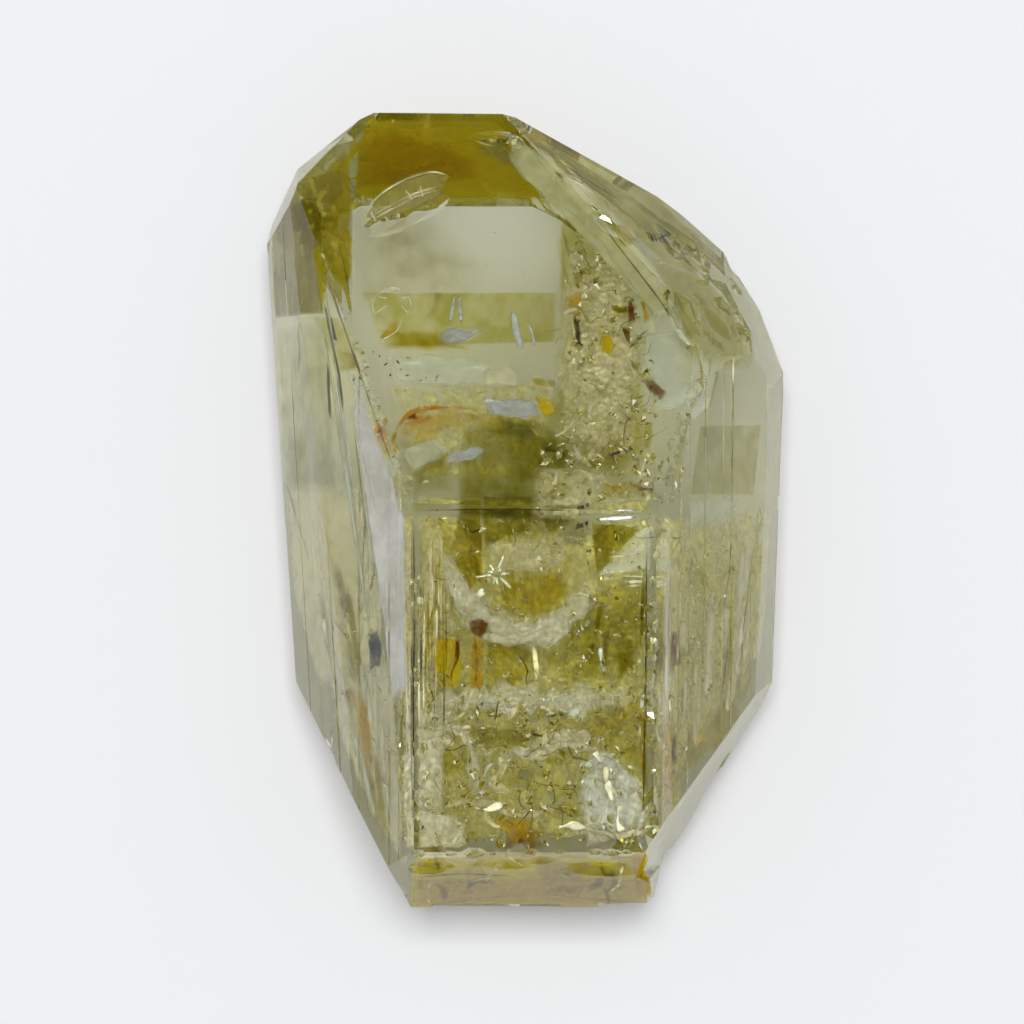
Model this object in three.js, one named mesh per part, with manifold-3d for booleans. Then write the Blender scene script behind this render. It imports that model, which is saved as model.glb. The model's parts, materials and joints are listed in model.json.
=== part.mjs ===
// A natural topaz crystal, lying on one of its flat prism faces.
//
// X runs across the crystal, Y along its c axis towards the tip, and Z up from the face it lies on.
// Millimetres. The origin is under the middle of the crystal, on the surface that it lies on.
//
// The crystal is one piece. It starts as a block, and every crystal face cuts away what lies outside
// its plane. Growth terraces, steps, chips and broken ledges are then cut from that form.

import * as THREE from 'three';
import { mergeVertices } from 'three/addons/utils/BufferGeometryUtils.js';
import Module from 'manifold-3d';

// ---- Driving dimensions -----------------------------------------------------------------------

const THICKNESS = 28;
const FRONT_LEFT = -8.7;
const FRONT_RIGHT = 9.8;
const TIP = 31;
const BASE = -30.9;
const WAIST_LEFT = -19;
const WAIST_RIGHT = 20.2;
const MID_DEPTH = THICKNESS / 2;

const DOME_RISE = 24.5;
const BACK_DOME_RISE = 55;
const BACK_DOME_FOOT = 21.1;

const BLOCK = 120;
const CUTTER = 6;

// Crystal faces. `turn` is the heading about the c axis, 0 at the front and 90 to the right. `rise`
// is how far the face looks up towards the tip. `at` is a point of its plane. A face that stops
// partway has `above` or `below`, measured up it from that point.
const FACES = {
  front: { turn: 0, rise: 0, at: [0, 0, THICKNESS] },
  frontDome: { turn: 1, rise: DOME_RISE, at: [0, 0.1, THICKNESS] },
  frontPrismLeft: { turn: -50, rise: 0, at: [FRONT_LEFT, 0, THICKNESS] },
  sidePrismLeft: { turn: -70, rise: -3.5, at: [-16, 6.8, 20.3] },
  frontPrismRight: { turn: 52, rise: -0.5, at: [FRONT_RIGHT, 0, THICKNESS] },
  sidePrismRight: { turn: 75, rise: -2.2, at: [WAIST_RIGHT, 7, 11.5] },

  back: { turn: 180, rise: 0, at: [0, 0, 0] },
  backDome: { turn: 180, rise: BACK_DOME_RISE, at: [0, BACK_DOME_FOOT, 0] },
  backPrismLeft: { turn: -140, rise: 0, at: [-14.2, 0, 0] },
  backSideLeft: { turn: -108, rise: -3.5, at: [WAIST_LEFT, 0, 10] },
  backPrismRight: { turn: 140, rise: 0, at: [12, 0, 0] },
  backSideRight: { turn: 100, rise: -2.2, at: [WAIST_RIGHT, 7, 11.5] },

  shoulder: { turn: 30, rise: 40, at: [-2.1, TIP, MID_DEPTH] },
  shoulderMid: { turn: 46, rise: 39, at: [12.5, 22.7, 13.5] },
  shoulderLow: { turn: 42, rise: 27, at: [13.5, 9.4, 23.8] },
  shoulderSide: { turn: 62, rise: 29, at: [16.3, 18.7, 13.5] },
  shoulderFoot: { turn: 70, rise: 15, at: [19, 14.2, 12.5] },
  shoulderBack: { turn: 141, rise: 50, at: [-1.1, TIP, MID_DEPTH] },
  shoulderBackMid: { turn: 134, rise: 39, at: [12.5, 22.7, 13.5] },
  shoulderBackLow: { turn: 125, rise: 27, at: [14.2, 21.4, 13] },
  pyramidLeft: { turn: -64, rise: 46, at: [-12.6, 30.8, 14.5] },
  pyramidLeftLow: { turn: -80, rise: 19, at: [-18.6, 25, 13] },
  pyramidLeftBack: { turn: -135, rise: 48, at: [-12.6, 30.8, 14.5] },

  base: { turn: 0, rise: -90, at: [0, BASE, 10] },
  baseBevel: { turn: 0, rise: -64, at: [0, -26, THICKNESS] },
  heelLeft: { turn: -88, rise: -27.4, at: [-13.3, -22.6, 18] },
  heelRight: { turn: 80, rise: -31, at: [13.1, -22.8, 15], above: -6.2 },
  heelCorner: { turn: 84, rise: -12, at: [10.2, -28, 15], below: 1.4 },
  heelLeftBack: { turn: -118, rise: -28, at: [-13.9, -22.6, 9] },
  heelRightBack: { turn: 116, rise: -30, at: [13.2, -22.8, 8] },
};

// Growth terraces along the c axis: the strip of each prism face that carries them, how wide one
// terrace is, how deep the deepest lies, and how far one leans.
const TERRACES = [
  { face: 'frontPrismLeft', from: -10.5, to: -0.6, width: [0.9, 2.6], depth: 0.13, lean: 1.6 },
  { face: 'sidePrismLeft', from: -6.5, to: 1.2, width: [1.2, 3.0], depth: 0.14, lean: 1.4 },
  { face: 'frontPrismRight', from: 0.8, to: 12, width: [0.9, 2.5], depth: 0.16, lean: 1.8 },
  { face: 'sidePrismRight', from: 0.4, to: 8, width: [0.7, 1.8], depth: 0.3, lean: 3.2 },
  { face: 'backPrismLeft', from: -6, to: 7, width: [1.2, 2.8], depth: 0.25, lean: 2.2 },
  { face: 'backSideLeft', from: -6, to: 6, width: [1.2, 2.6], depth: 0.25, lean: 2.2 },
  { face: 'backPrismRight', from: -7, to: 8, width: [1.2, 2.8], depth: 0.25, lean: 2.4 },
  { face: 'backSideRight', from: -7, to: 5, width: [1.0, 2.4], depth: 0.3, lean: 2.8 },
];

// Shell-shaped chips. `across` and `along` are measured on the face from its point, `radius` is the
// ball that the chip is part of, `sink` is how deep it bites, `stretch` draws it out across and
// along, and `spin` turns it in the face.
const CHIPS = [
  { face: 'frontDome', across: -9.2, along: 25, radius: 5, sink: 0.5, stretch: [1.85, 0.6], spin: 27 },
  { face: 'frontDome', across: 12.4, along: 16.2, radius: 2.2, sink: 0.8, stretch: [0.8, 1.6], spin: 14 },
  { face: 'frontDome', across: 6.6, along: 24.2, radius: 2.4, sink: 0.5, stretch: [1.2, 0.6], spin: -42 },
  { face: 'front', across: 9.5, along: -24.6, radius: 1.8, sink: 0.7, stretch: [0.9, 1.4], spin: 10 },
  { face: 'baseBevel', across: -7.6, along: -3.2, radius: 1.6, sink: 0.6, stretch: [1.3, 1], spin: 0 },
  { face: 'baseBevel', across: 5.6, along: -3.4, radius: 3.4, sink: 0.7, stretch: [1.5, 0.7], spin: -8 },
  { face: 'heelRight', across: 4.6, along: 1.8, radius: 2.6, sink: 0.6, stretch: [0.7, 1.6], spin: 8 },
  { face: 'backDome', across: 2.5, along: 12.6, radius: 2.6, sink: 0.6, stretch: [1.3, 0.8], spin: 12 },
  { face: 'backDome', across: -9.5, along: 1.4, radius: 2.2, sink: 0.5, stretch: [1.4, 0.7], spin: -6 },
  { face: 'backPrismLeft', across: 6.3, along: -9.5, radius: 2, sink: 0.6, stretch: [0.8, 1.8], spin: 4 },
  { face: 'backPrismRight', across: 1.2, along: 12.5, radius: 2.4, sink: 0.7, stretch: [0.8, 1.5], spin: -8 },
  { face: 'backSideRight', across: -3.6, along: -18.4, radius: 2.4, sink: 0.8, stretch: [1.2, 0.8], spin: 0 },
  { face: 'sidePrismRight', across: 2.2, along: -6.4, radius: 2.3, sink: 0.85, stretch: [1.6, 0.6], spin: 4 },
  { face: 'sidePrismRight', across: 3.4, along: -11.6, radius: 2, sink: 0.55, stretch: [1.5, 0.7], spin: -6 },
];

// Bruised edges: rows of small angular chips of every size, from one end of an edge to the other.
// Here and in the breaks below, `bite` is how deep a chip goes, as a share of its size.
const BRUISED_EDGES = [
  { face: 'frontDome', from: [-16.6, 22.4], to: [-15.2, 17.2], gap: [0.5, 1.1], size: [0.5, 1.1], bite: 0.4 },
  { face: 'frontDome', from: [-14.8, 16.2], to: [-9.2, 1.2], gap: [0.5, 1.3], size: [0.4, 1.0], bite: 0.4 },
  { face: 'frontDome', from: [10.2, 1.4], to: [13.1, 9.6], gap: [0.6, 1.5], size: [0.5, 1.2], bite: 0.4 },
  { face: 'frontDome', from: [-0.4, 31.2], to: [12.6, 18.6], gap: [2.2, 4.4], size: [0.4, 1.0], bite: 0.3 },
  { face: 'front', from: [-8.8, -1.5], to: [-8.7, -27], gap: [1.4, 4.4], size: [0.4, 1.0], bite: 0.35 },
  { face: 'front', from: [9.9, -1.5], to: [9.4, -24], gap: [1.2, 3.8], size: [0.4, 1.2], bite: 0.4 },
  { face: 'baseBevel', from: [-8.4, 0], to: [8.6, 0], gap: [1.2, 3.0], size: [0.5, 1.3], bite: 0.3 },
  { face: 'base', from: [-8, -16], to: [8, -16], gap: [1.4, 3.2], size: [0.7, 1.6], bite: 0.3 },
];

// Places where the crystal is broken rather than grown: shallow shell-shaped bites over each other.
const BREAKS = [
  { face: 'shoulder', across: [8, 14], along: [-20, -13], count: 10, size: [0.9, 2.4], bite: 0.14 },
  { face: 'shoulderLow', across: [0, 6.5], along: [3, 13], count: 20, size: [0.8, 2.2], bite: 0.17 },
  { face: 'shoulderSide', across: [-2, 3], along: [-5, 3], count: 7, size: [1.2, 2.8], bite: 0.12 },
  { face: 'sidePrismRight', across: [1, 6], along: [-24, -12], count: 10, size: [1.6, 3.6], bite: 0.14 },
  { face: 'heelRightBack', across: [-6, 6], along: [-6, 8], count: 9, size: [2.6, 6], bite: 0.1 },
  { face: 'heelLeftBack', across: [-6, 6], along: [-6, 8], count: 9, size: [2.6, 6], bite: 0.1 },
  { face: 'heelLeft', across: [-7, 4], along: [-8, 6], count: 12, size: [1.6, 4], bite: 0.1 },
  { face: 'baseBevel', across: [-8, 8], along: [-4.2, -1.6], count: 9, size: [1.2, 2.8], bite: 0.14 },
];

// Cleavage ledges: flat steps square to the c axis on the broken base.
const BASE_LEDGES = [
  { x: -6.2, z: 4.5, width: 9, height: 14, depth: 0.5, spin: 12 },
  { x: 3.2, z: 3, width: 13, height: 12, depth: 0.85, spin: -9 },
  { x: 8.2, z: 15.5, width: 6, height: 12, depth: 0.4, spin: 6 },
  { x: -2.5, z: 19.5, width: 10, height: 5.5, depth: 0.25, spin: -5 },
];

// Four-sided etch pits: how wide at the face, how much longer than wide, and how deep.
const ETCH_PITS = [
  { face: 'back', across: 7.5, along: 13.5, width: 2.6, stretch: 1.5, depth: 0.4, spin: 6 },
  { face: 'back', across: -5.5, along: 15.2, width: 1.7, stretch: 1.5, depth: 0.3, spin: -4 },
  { face: 'back', across: 9.2, along: -4.5, width: 1.6, stretch: 2.2, depth: 0.25, spin: 3 },
  { face: 'back', across: -6.8, along: -9.5, width: 2.4, stretch: 1.7, depth: 0.4, spin: 0 },
  { face: 'back', across: 3.6, along: -17.5, width: 2.0, stretch: 1.6, depth: 0.35, spin: 5 },
  { face: 'backDome', across: 6.0, along: 7.5, width: 1.8, stretch: 1.4, depth: 0.3, spin: 0 },
  { face: 'backSideLeft', across: 2.5, along: 9.5, width: 1.6, stretch: 2.0, depth: 0.3, spin: 0 },
  { face: 'backSideLeft', across: -3.5, along: -7.0, width: 1.4, stretch: 2.2, depth: 0.25, spin: 0 },
];

// A pointed spur that hangs at the foot of the right flank.
const SPUR = { at: [18.3, -13.2, 11], top: 1.3, foot: 0.3, length: 3.2, lean: 6 };

const TOPAZ = { color: 0x98926a, roughness: 0.05, metalness: 0 };
const MERGE_GRAIN = 1e-5;

// ---- Solids ------------------------------------------------------------------------------------

const wasm = await Module();
wasm.setup();

function solidOf(geometry) {
  const bare = geometry.clone();
  bare.deleteAttribute('normal');
  bare.deleteAttribute('uv');
  const merged = mergeVertices(bare, MERGE_GRAIN);
  const vertProperties = Float32Array.from(merged.attributes.position.array);
  const triVerts = Uint32Array.from(merged.index.array);
  return new wasm.Manifold(new wasm.Mesh({ numProp: 3, vertProperties, triVerts }));
}

function geometryOf(solid) {
  const mesh = solid.getMesh();
  const geometry = new THREE.BufferGeometry();
  geometry.setAttribute('position', new THREE.BufferAttribute(mesh.vertProperties, 3));
  geometry.setIndex(new THREE.BufferAttribute(mesh.triVerts, 1));
  return geometry;
}

// The same numbers every time, so that the crystal is always the same one.
let seed = 20;
function random(low, high) {
  seed = (seed * 1103515245 + 12345) % 2147483648;
  return low + (high - low) * (seed / 2147483648);
}

// A face's own frame: x across it, y up it towards the tip, z out of it.
function frameOf({ turn, rise, at }) {
  const heading = THREE.MathUtils.degToRad(turn);
  const climb = THREE.MathUtils.degToRad(rise);
  const across = new THREE.Vector3(Math.cos(heading), 0, -Math.sin(heading));
  const out = new THREE.Vector3(
    Math.sin(heading) * Math.cos(climb),
    Math.sin(climb),
    Math.cos(heading) * Math.cos(climb),
  );
  const along = new THREE.Vector3().crossVectors(out, across);
  return new THREE.Matrix4().makeBasis(across, along, out).setPosition(...at);
}

// A cutter shape, turned and moved on a face.
function onFace(geometry, face, { across = 0, along = 0, out = 0, spin = 0, leanX = 0, leanY = 0 }) {
  const turns = new THREE.Euler(
    THREE.MathUtils.degToRad(leanX),
    THREE.MathUtils.degToRad(leanY),
    THREE.MathUtils.degToRad(spin),
    'ZYX',
  );
  const local = new THREE.Matrix4().makeRotationFromEuler(turns).setPosition(across, along, out);
  return solidOf(geometry.applyMatrix4(local.premultiply(frameOf(face))));
}

// ---- The grown form ----------------------------------------------------------------------------

function cutOutside(solid, face) {
  const { above = -BLOCK, below = BLOCK } = face;
  const outside = new THREE.BoxGeometry(BLOCK * 2, below - above, BLOCK);
  return solid.subtract(onFace(outside, face, { along: (below + above) / 2, out: BLOCK / 2 }));
}

function grownForm() {
  let form = solidOf(new THREE.BoxGeometry(BLOCK, BLOCK, BLOCK));
  Object.values(FACES).forEach((face) => { form = cutOutside(form, face); });
  return form;
}

function spurOfFlank() {
  const spur = new THREE.CylinderGeometry(SPUR.top, SPUR.foot, SPUR.length, 6);
  spur.rotateZ(THREE.MathUtils.degToRad(SPUR.lean));
  spur.translate(...SPUR.at);
  return solidOf(spur);
}

// ---- Surface relief ----------------------------------------------------------------------------

function cutTerraces(crystal, { face, from, to, width, depth, lean }) {
  let left = from;
  while (left < to) {
    const wide = random(...width);
    const deep = random(0, depth);
    const strip = new THREE.BoxGeometry(wide, BLOCK, CUTTER);
    const half = random(0, 1) < 0.5;
    const place = {
      across: left + wide / 2,
      along: half ? random(-1, 1) * BLOCK / 6 - BLOCK / 2 : 0,
      out: CUTTER / 2 - deep,
      leanY: random(-lean, lean),
    };
    crystal = crystal.subtract(onFace(strip, FACES[face], place));
    left += wide;
  }
  return crystal;
}

function cutChip(crystal, { face, across, along, radius, sink, stretch, spin }) {
  const ball = new THREE.IcosahedronGeometry(radius, radius > 4 ? 3 : 2);
  ball.scale(stretch[0], stretch[1], 1);
  return crystal.subtract(onFace(ball, FACES[face], { across, along, spin, out: radius - sink }));
}

// One shallow bite from a coarse ball that is turned and stretched at random.
function cutBite(crystal, face, across, along, size, bite) {
  const radius = random(...size);
  const ball = new THREE.IcosahedronGeometry(radius, radius > 1.8 ? 2 : 1);
  ball.rotateX(random(0, Math.PI));
  ball.rotateZ(random(0, Math.PI));
  ball.scale(random(0.7, 1.3), random(0.7, 1.3), 1);
  const place = { across, along, out: radius * (1 - bite), spin: random(0, 180) };
  return crystal.subtract(onFace(ball, FACES[face], place));
}

function bruiseEdge(crystal, { face, from, to, gap, size, bite }) {
  const length = Math.hypot(to[0] - from[0], to[1] - from[1]);
  let walked = 0;
  while (walked < length) {
    const across = THREE.MathUtils.lerp(from[0], to[0], walked / length) + random(-0.3, 0.3);
    const along = THREE.MathUtils.lerp(from[1], to[1], walked / length) + random(-0.3, 0.3);
    crystal = cutBite(crystal, face, across, along, size, bite);
    walked += random(...gap);
  }
  return crystal;
}

function cutBreak(crystal, { face, across, along, count, size, bite }) {
  for (let i = 0; i < count; i += 1) {
    crystal = cutBite(crystal, face, random(...across), random(...along), size, bite);
  }
  return crystal;
}

function cutPit(crystal, { face, across, along, width, stretch, depth, spin }) {
  const pit = new THREE.ConeGeometry(width, depth * 2, 4);
  pit.rotateX(-Math.PI / 2);
  pit.scale(0.75, stretch, 1);
  return crystal.subtract(onFace(pit, FACES[face], { across, along, spin }));
}

function cutBaseLedge(crystal, { x, z, width, height, depth, spin }) {
  const ledge = new THREE.BoxGeometry(width, CUTTER, height);
  ledge.rotateY(THREE.MathUtils.degToRad(spin));
  ledge.translate(x, BASE + depth - CUTTER / 2, z);
  return crystal.subtract(solidOf(ledge));
}

// ---- The crystal -------------------------------------------------------------------------------

function buildCrystal() {
  let crystal = grownForm();
  TERRACES.forEach((terrace) => { crystal = cutTerraces(crystal, terrace); });
  crystal = crystal.add(spurOfFlank());
  BREAKS.forEach((broken) => { crystal = cutBreak(crystal, broken); });
  CHIPS.forEach((chip) => { crystal = cutChip(crystal, chip); });
  BASE_LEDGES.forEach((ledge) => { crystal = cutBaseLedge(crystal, ledge); });
  BRUISED_EDGES.forEach((edge) => { crystal = bruiseEdge(crystal, edge); });
  ETCH_PITS.forEach((pit) => { crystal = cutPit(crystal, pit); });

  const geometry = geometryOf(crystal);
  geometry.computeBoundingBox();
  const box = geometry.boundingBox;
  geometry.translate(-(box.min.x + box.max.x) / 2, -(box.min.y + box.max.y) / 2, -box.min.z);
  return geometry;
}

const topaz = new THREE.MeshStandardMaterial(TOPAZ);
const crystal = new THREE.Mesh(buildCrystal(), topaz);
crystal.name = 'crystal';

const part = new THREE.Group();
part.add(crystal);

export default part;
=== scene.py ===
# %% [markdown]
# # A clear topaz crystal, lying on its back
#
# The real thing is one natural crystal of topaz, about 6 cm long: pale olive-yellow, clear and
# glossy, with a sloping dome at its tip, ribbed prism faces along its sides and a broken base. Its
# lower half is full of cracks, veils and rusty stains. A clear stone is made by its inside as much
# as by its outline, so most cells here are about light: what the stone absorbs, and what bends,
# mirrors or scatters the light on its way through.
#
# X runs across the crystal, Y along it towards the tip, and Z up from the face that it lies on.

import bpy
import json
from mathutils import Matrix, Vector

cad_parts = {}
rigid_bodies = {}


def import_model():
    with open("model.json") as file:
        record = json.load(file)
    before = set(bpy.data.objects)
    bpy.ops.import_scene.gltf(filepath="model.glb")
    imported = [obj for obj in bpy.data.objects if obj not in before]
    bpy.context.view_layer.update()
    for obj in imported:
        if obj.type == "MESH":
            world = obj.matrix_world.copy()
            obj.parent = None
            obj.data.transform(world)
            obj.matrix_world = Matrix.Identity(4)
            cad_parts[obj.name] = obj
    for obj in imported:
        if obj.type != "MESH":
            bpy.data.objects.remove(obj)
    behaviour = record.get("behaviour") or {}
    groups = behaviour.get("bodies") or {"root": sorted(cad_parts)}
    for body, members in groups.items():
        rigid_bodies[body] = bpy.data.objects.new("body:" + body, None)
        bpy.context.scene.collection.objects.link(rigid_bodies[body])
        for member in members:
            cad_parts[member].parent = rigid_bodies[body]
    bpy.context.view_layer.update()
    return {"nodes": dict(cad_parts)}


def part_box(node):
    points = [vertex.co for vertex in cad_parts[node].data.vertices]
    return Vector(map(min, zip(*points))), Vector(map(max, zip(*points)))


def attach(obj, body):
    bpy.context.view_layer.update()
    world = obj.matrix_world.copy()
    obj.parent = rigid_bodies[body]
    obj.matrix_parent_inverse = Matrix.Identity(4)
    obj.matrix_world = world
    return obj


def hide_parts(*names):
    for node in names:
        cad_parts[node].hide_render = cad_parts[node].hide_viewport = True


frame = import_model()

# %% Tools and units
import json
import math
import random

import bmesh
import bpy
from mathutils import Vector, noise
from mathutils.bvhtree import BVHTree

MM = 0.001
ROOT = "root"
LOW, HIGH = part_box("crystal")
LENGTH = HIGH.y - LOW.y
FRONT = HIGH.z

print("the front face lies", round(FRONT / MM, 2), "mm above the floor")

# %% [markdown]
# ## Camera
#
# The crystal lies down, so the camera looks straight down on it, with the tip at the top. A long
# lens from 40 cm away keeps the sides from splaying out.

# %% Camera
CAMERA_ABOVE_FRONT = 0.400
VIEW_PER_LENGTH = 1.2516
VIEW_WIDTH = LENGTH * VIEW_PER_LENGTH
SENSOR_WIDTH = 36
NEAREST_SEEN = 0.01
LOOK_AT = Vector((-1.02, -0.31, 0)) * MM

camera_data = bpy.data.cameras.new("camera")
camera_data.sensor_width = SENSOR_WIDTH
camera_data.lens = SENSOR_WIDTH * CAMERA_ABOVE_FRONT / VIEW_WIDTH
camera_data.clip_start = NEAREST_SEEN
camera = bpy.data.objects.new("camera", camera_data)
bpy.context.collection.objects.link(camera)
camera.location = (LOOK_AT.x, LOOK_AT.y, FRONT + CAMERA_ABOVE_FRONT)
bpy.context.scene.camera = camera
print("lens", round(camera_data.lens, 1), "mm")

# %% [markdown]
# ## Floor and light
#
# A plain pale floor, a dim ring of soft light all round, and one softbox high overhead, just past
# the tip end. It is almost straight above the stone, so the shadow is short and soft: a few
# millimetres under the broken base, less at the sides, and none at the tip. The space where the
# front face and the dome would mirror the sky to the camera stays dark, as it does round a real
# camera, because a white sheen would otherwise lie over the stone's own colour.

# %% Node helpers
def new_material(name):
    """An empty node material and its tools: add(type) makes a node, link(a, b) joins two sockets."""
    material = bpy.data.materials.new(name)
    material.use_nodes = True
    # The films all lie inside the stone, where no shadow ray gets out, so none needs to look through.
    material.use_transparent_shadow = False
    tree = material.node_tree
    tree.nodes.clear()
    print("paint:", name)
    return material, tree.nodes.new, tree.links.new


def ramp(add, stops):
    """A colour ramp from a list of (place, colour) stops."""
    node = add("ShaderNodeValToRGB")
    elements = node.color_ramp.elements
    while len(elements) < len(stops):
        elements.new(0.5)
    for element, (place, colour) in zip(elements, stops):
        element.position = place
        element.color = (*colour, 1)
    return node


# %% Floor
# The film of air under the stone is real, and without it the floor would lie in the stone's face.
AIR_UNDER_STONE = 0.12 * MM
FLOOR_SIDE = 2.4
FLOOR_GREY = (0.80, 0.81, 0.83)

floor_mesh = bpy.data.meshes.new("floor")
half_floor = FLOOR_SIDE / 2
floor_corners = [
    (x * half_floor, y * half_floor, LOW.z - AIR_UNDER_STONE)
    for x, y in ((-1, -1), (1, -1), (1, 1), (-1, 1))
]
floor_mesh.from_pydata(floor_corners, [], [(0, 1, 2, 3)])
floor = bpy.data.objects.new("floor", floor_mesh)
bpy.context.collection.objects.link(floor)

floor_paint, add, link = new_material("floor_paint")
floor_shader = add("ShaderNodeBsdfDiffuse")
floor_shader.inputs["Color"].default_value = (*FLOOR_GREY, 1)
link(floor_shader.outputs[0], add("ShaderNodeOutputMaterial").inputs["Surface"])
floor_mesh.materials.append(floor_paint)

# %% Sky
# Brightness of the surroundings by height: 0 is the horizon and 1 is straight above.
SKY_LIGHT = [(0.0, 0.20), (0.16, 0.41), (1.0, 0.43)]
# Two black cards in the sky, where the front face and the dome would mirror it to the camera.
BLACK_CARDS = [(0.0, 0.0, 1.0), (0.0, 0.76, 0.65)]
CARD_EDGES = (math.cos(math.radians(9.5)), math.cos(math.radians(5.5)))
CARD_LIGHT = 0.04

world = bpy.data.worlds.new("studio")
world.use_nodes = True
bpy.context.scene.world = world
add, link = world.node_tree.nodes.new, world.node_tree.links.new
background = world.node_tree.nodes["Background"]
sky_place = add("ShaderNodeTexCoord").outputs["Generated"]
sky_height = add("ShaderNodeSeparateXYZ")
link(sky_place, sky_height.inputs[0])
sky_ramp = ramp(add, [(height, (light,) * 3) for height, light in SKY_LIGHT])
link(sky_height.outputs["Z"], sky_ramp.inputs["Fac"])
sky = sky_ramp.outputs["Color"]
for direction in BLACK_CARDS:
    towards = add("ShaderNodeVectorMath")
    towards.operation = "DOT_PRODUCT"
    towards.inputs[1].default_value = direction
    link(sky_place, towards.inputs[0])
    card = add("ShaderNodeMapRange")
    card.interpolation_type = "SMOOTHSTEP"
    card.inputs["From Min"].default_value, card.inputs["From Max"].default_value = CARD_EDGES
    link(towards.outputs["Value"], card.inputs["Value"])
    hidden = add("ShaderNodeMix")
    hidden.data_type = "RGBA"
    link(card.outputs["Result"], hidden.inputs[0])
    link(sky, hidden.inputs[6])
    hidden.inputs[7].default_value = (CARD_LIGHT, CARD_LIGHT, CARD_LIGHT, 1)
    sky = hidden.outputs[2]
link(sky, background.inputs["Color"])
print("the sky has", len(BLACK_CARDS), "black cards")

# %% Softbox
def softbox(name, place, width, depth, power):
    """An oblong area light that looks at the middle of the crystal."""
    light = bpy.data.lights.new(name, "AREA")
    light.shape = "RECTANGLE"
    light.size = width
    light.size_y = depth
    light.energy = power
    box = bpy.data.objects.new(name, light)
    bpy.context.collection.objects.link(box)
    box.location = place
    aim = Vector((0, 0, FRONT / 2)) - box.location
    box.rotation_euler = aim.to_track_quat("-Z", "Y").to_euler()
    print(name, "is", round(box.location.z, 2), "m above the floor")


KEY_PLACE = (0, 0.19, 1.55)
KEY_WIDTH = 0.36
KEY_DEPTH = 0.34
KEY_POWER = 17.1
softbox("key_light", KEY_PLACE, KEY_WIDTH, KEY_DEPTH, KEY_POWER)

# %% Light paths
# A ray crosses the stone and its cracks many times before it leaves.
BOUNCES = 12
FILMS_CROSSED = 24
cycles = bpy.context.scene.cycles
cycles.max_bounces = BOUNCES
cycles.transmission_bounces = BOUNCES
cycles.glossy_bounces = BOUNCES
cycles.transparent_max_bounces = FILMS_CROSSED
bpy.context.scene.view_settings.view_transform = "Standard"
print("a ray may turn", BOUNCES, "times")

# %% [markdown]
# ## The clear topaz
#
# Topaz bends light strongly, with a refractive index of 1.62, so a ray that meets a face from
# inside at more than 38 degrees is mirrored back. Its colour isn't painted: it is what a few
# centimetres of stone take out of the light, mostly blue. Short paths look almost colourless and
# long, mirrored paths look deep olive, as in the real stone. The shader is a plain clear one, with
# a volume that only absorbs.

# %% Topaz
TOPAZ_IOR = 1.62
PASSED_COLOUR = (1.0, 1.0, 0.14)
ABSORPTION = 8.0


def clear_topaz():
    """The see-through stone, as glossy as each face's `frost` lets it be."""
    material, add, link = new_material("clear_topaz")
    stone = add("ShaderNodeBsdfPrincipled")
    stone.inputs["Base Color"].default_value = (1, 1, 1, 1)
    frost = add("ShaderNodeAttribute")
    frost.attribute_name = "frost"
    link(frost.outputs["Fac"], stone.inputs["Roughness"])
    stone.inputs["IOR"].default_value = TOPAZ_IOR
    stone.inputs["Transmission Weight"].default_value = 1
    body = add("ShaderNodeVolumeAbsorption")
    body.inputs["Color"].default_value = (*PASSED_COLOUR, 1)
    body.inputs["Density"].default_value = ABSORPTION
    out = add("ShaderNodeOutputMaterial")
    link(stone.outputs[0], out.inputs["Surface"])
    link(body.outputs[0], out.inputs["Volume"])
    return material


topaz = clear_topaz()

# %% [markdown]
# ## The crystal's skin
#
# The frame's crystal has every face, ledge and chip at its true size, as loose triangles. A copy of
# it is joined up, its flat faces are made whole again, and its long edges get a very narrow bevel,
# because a real edge always has a small wear line that catches the light.

# %% Crystal mesh
SAME_POINT = 0.002 * MM
FLAT_ANGLE = math.radians(0.2)
WORN_EDGE_ANGLE = math.radians(14)
WORN_EDGE_LENGTH = 1.2 * MM
WORN_EDGE_WIDTH = 0.05 * MM
WORN_EDGE_STEPS = 2
# The steep faces at the right and the base are broken or etched, so they are frosted, not glossy.
FROSTED = [Vector((0.84, -0.52, 0.15)), Vector((0.97, -0.04, 0.26)), Vector((0, -0.90, 0.44))]
FROSTED_WITHIN = math.cos(math.radians(14))
FROST = 0.26


def crystal_skin():
    """The frame's crystal as one joined mesh with worn long edges."""
    form = bmesh.new()
    form.from_mesh(frame["nodes"]["crystal"].data)
    bmesh.ops.remove_doubles(form, verts=form.verts, dist=SAME_POINT)
    bmesh.ops.dissolve_limit(form, angle_limit=FLAT_ANGLE, verts=form.verts, edges=form.edges)
    worn = [
        edge for edge in form.edges
        if edge.is_manifold
        and edge.calc_length() > WORN_EDGE_LENGTH
        and edge.calc_face_angle() > WORN_EDGE_ANGLE
    ]
    bmesh.ops.bevel(
        form, geom=worn, offset=WORN_EDGE_WIDTH, segments=WORN_EDGE_STEPS, affect="EDGES", clamp_overlap=True,
    )
    bmesh.ops.triangulate(form, faces=form.faces)
    frost = form.faces.layers.float.new("frost")
    for face in form.faces:
        if any(face.normal.dot(direction) > FROSTED_WITHIN for direction in FROSTED):
            face[frost] = FROST
    mesh = bpy.data.meshes.new("topaz_crystal")
    form.to_mesh(mesh)
    print("worn edges", len(worn), "- triangles", len(form.faces))
    form.free()
    return mesh


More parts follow.
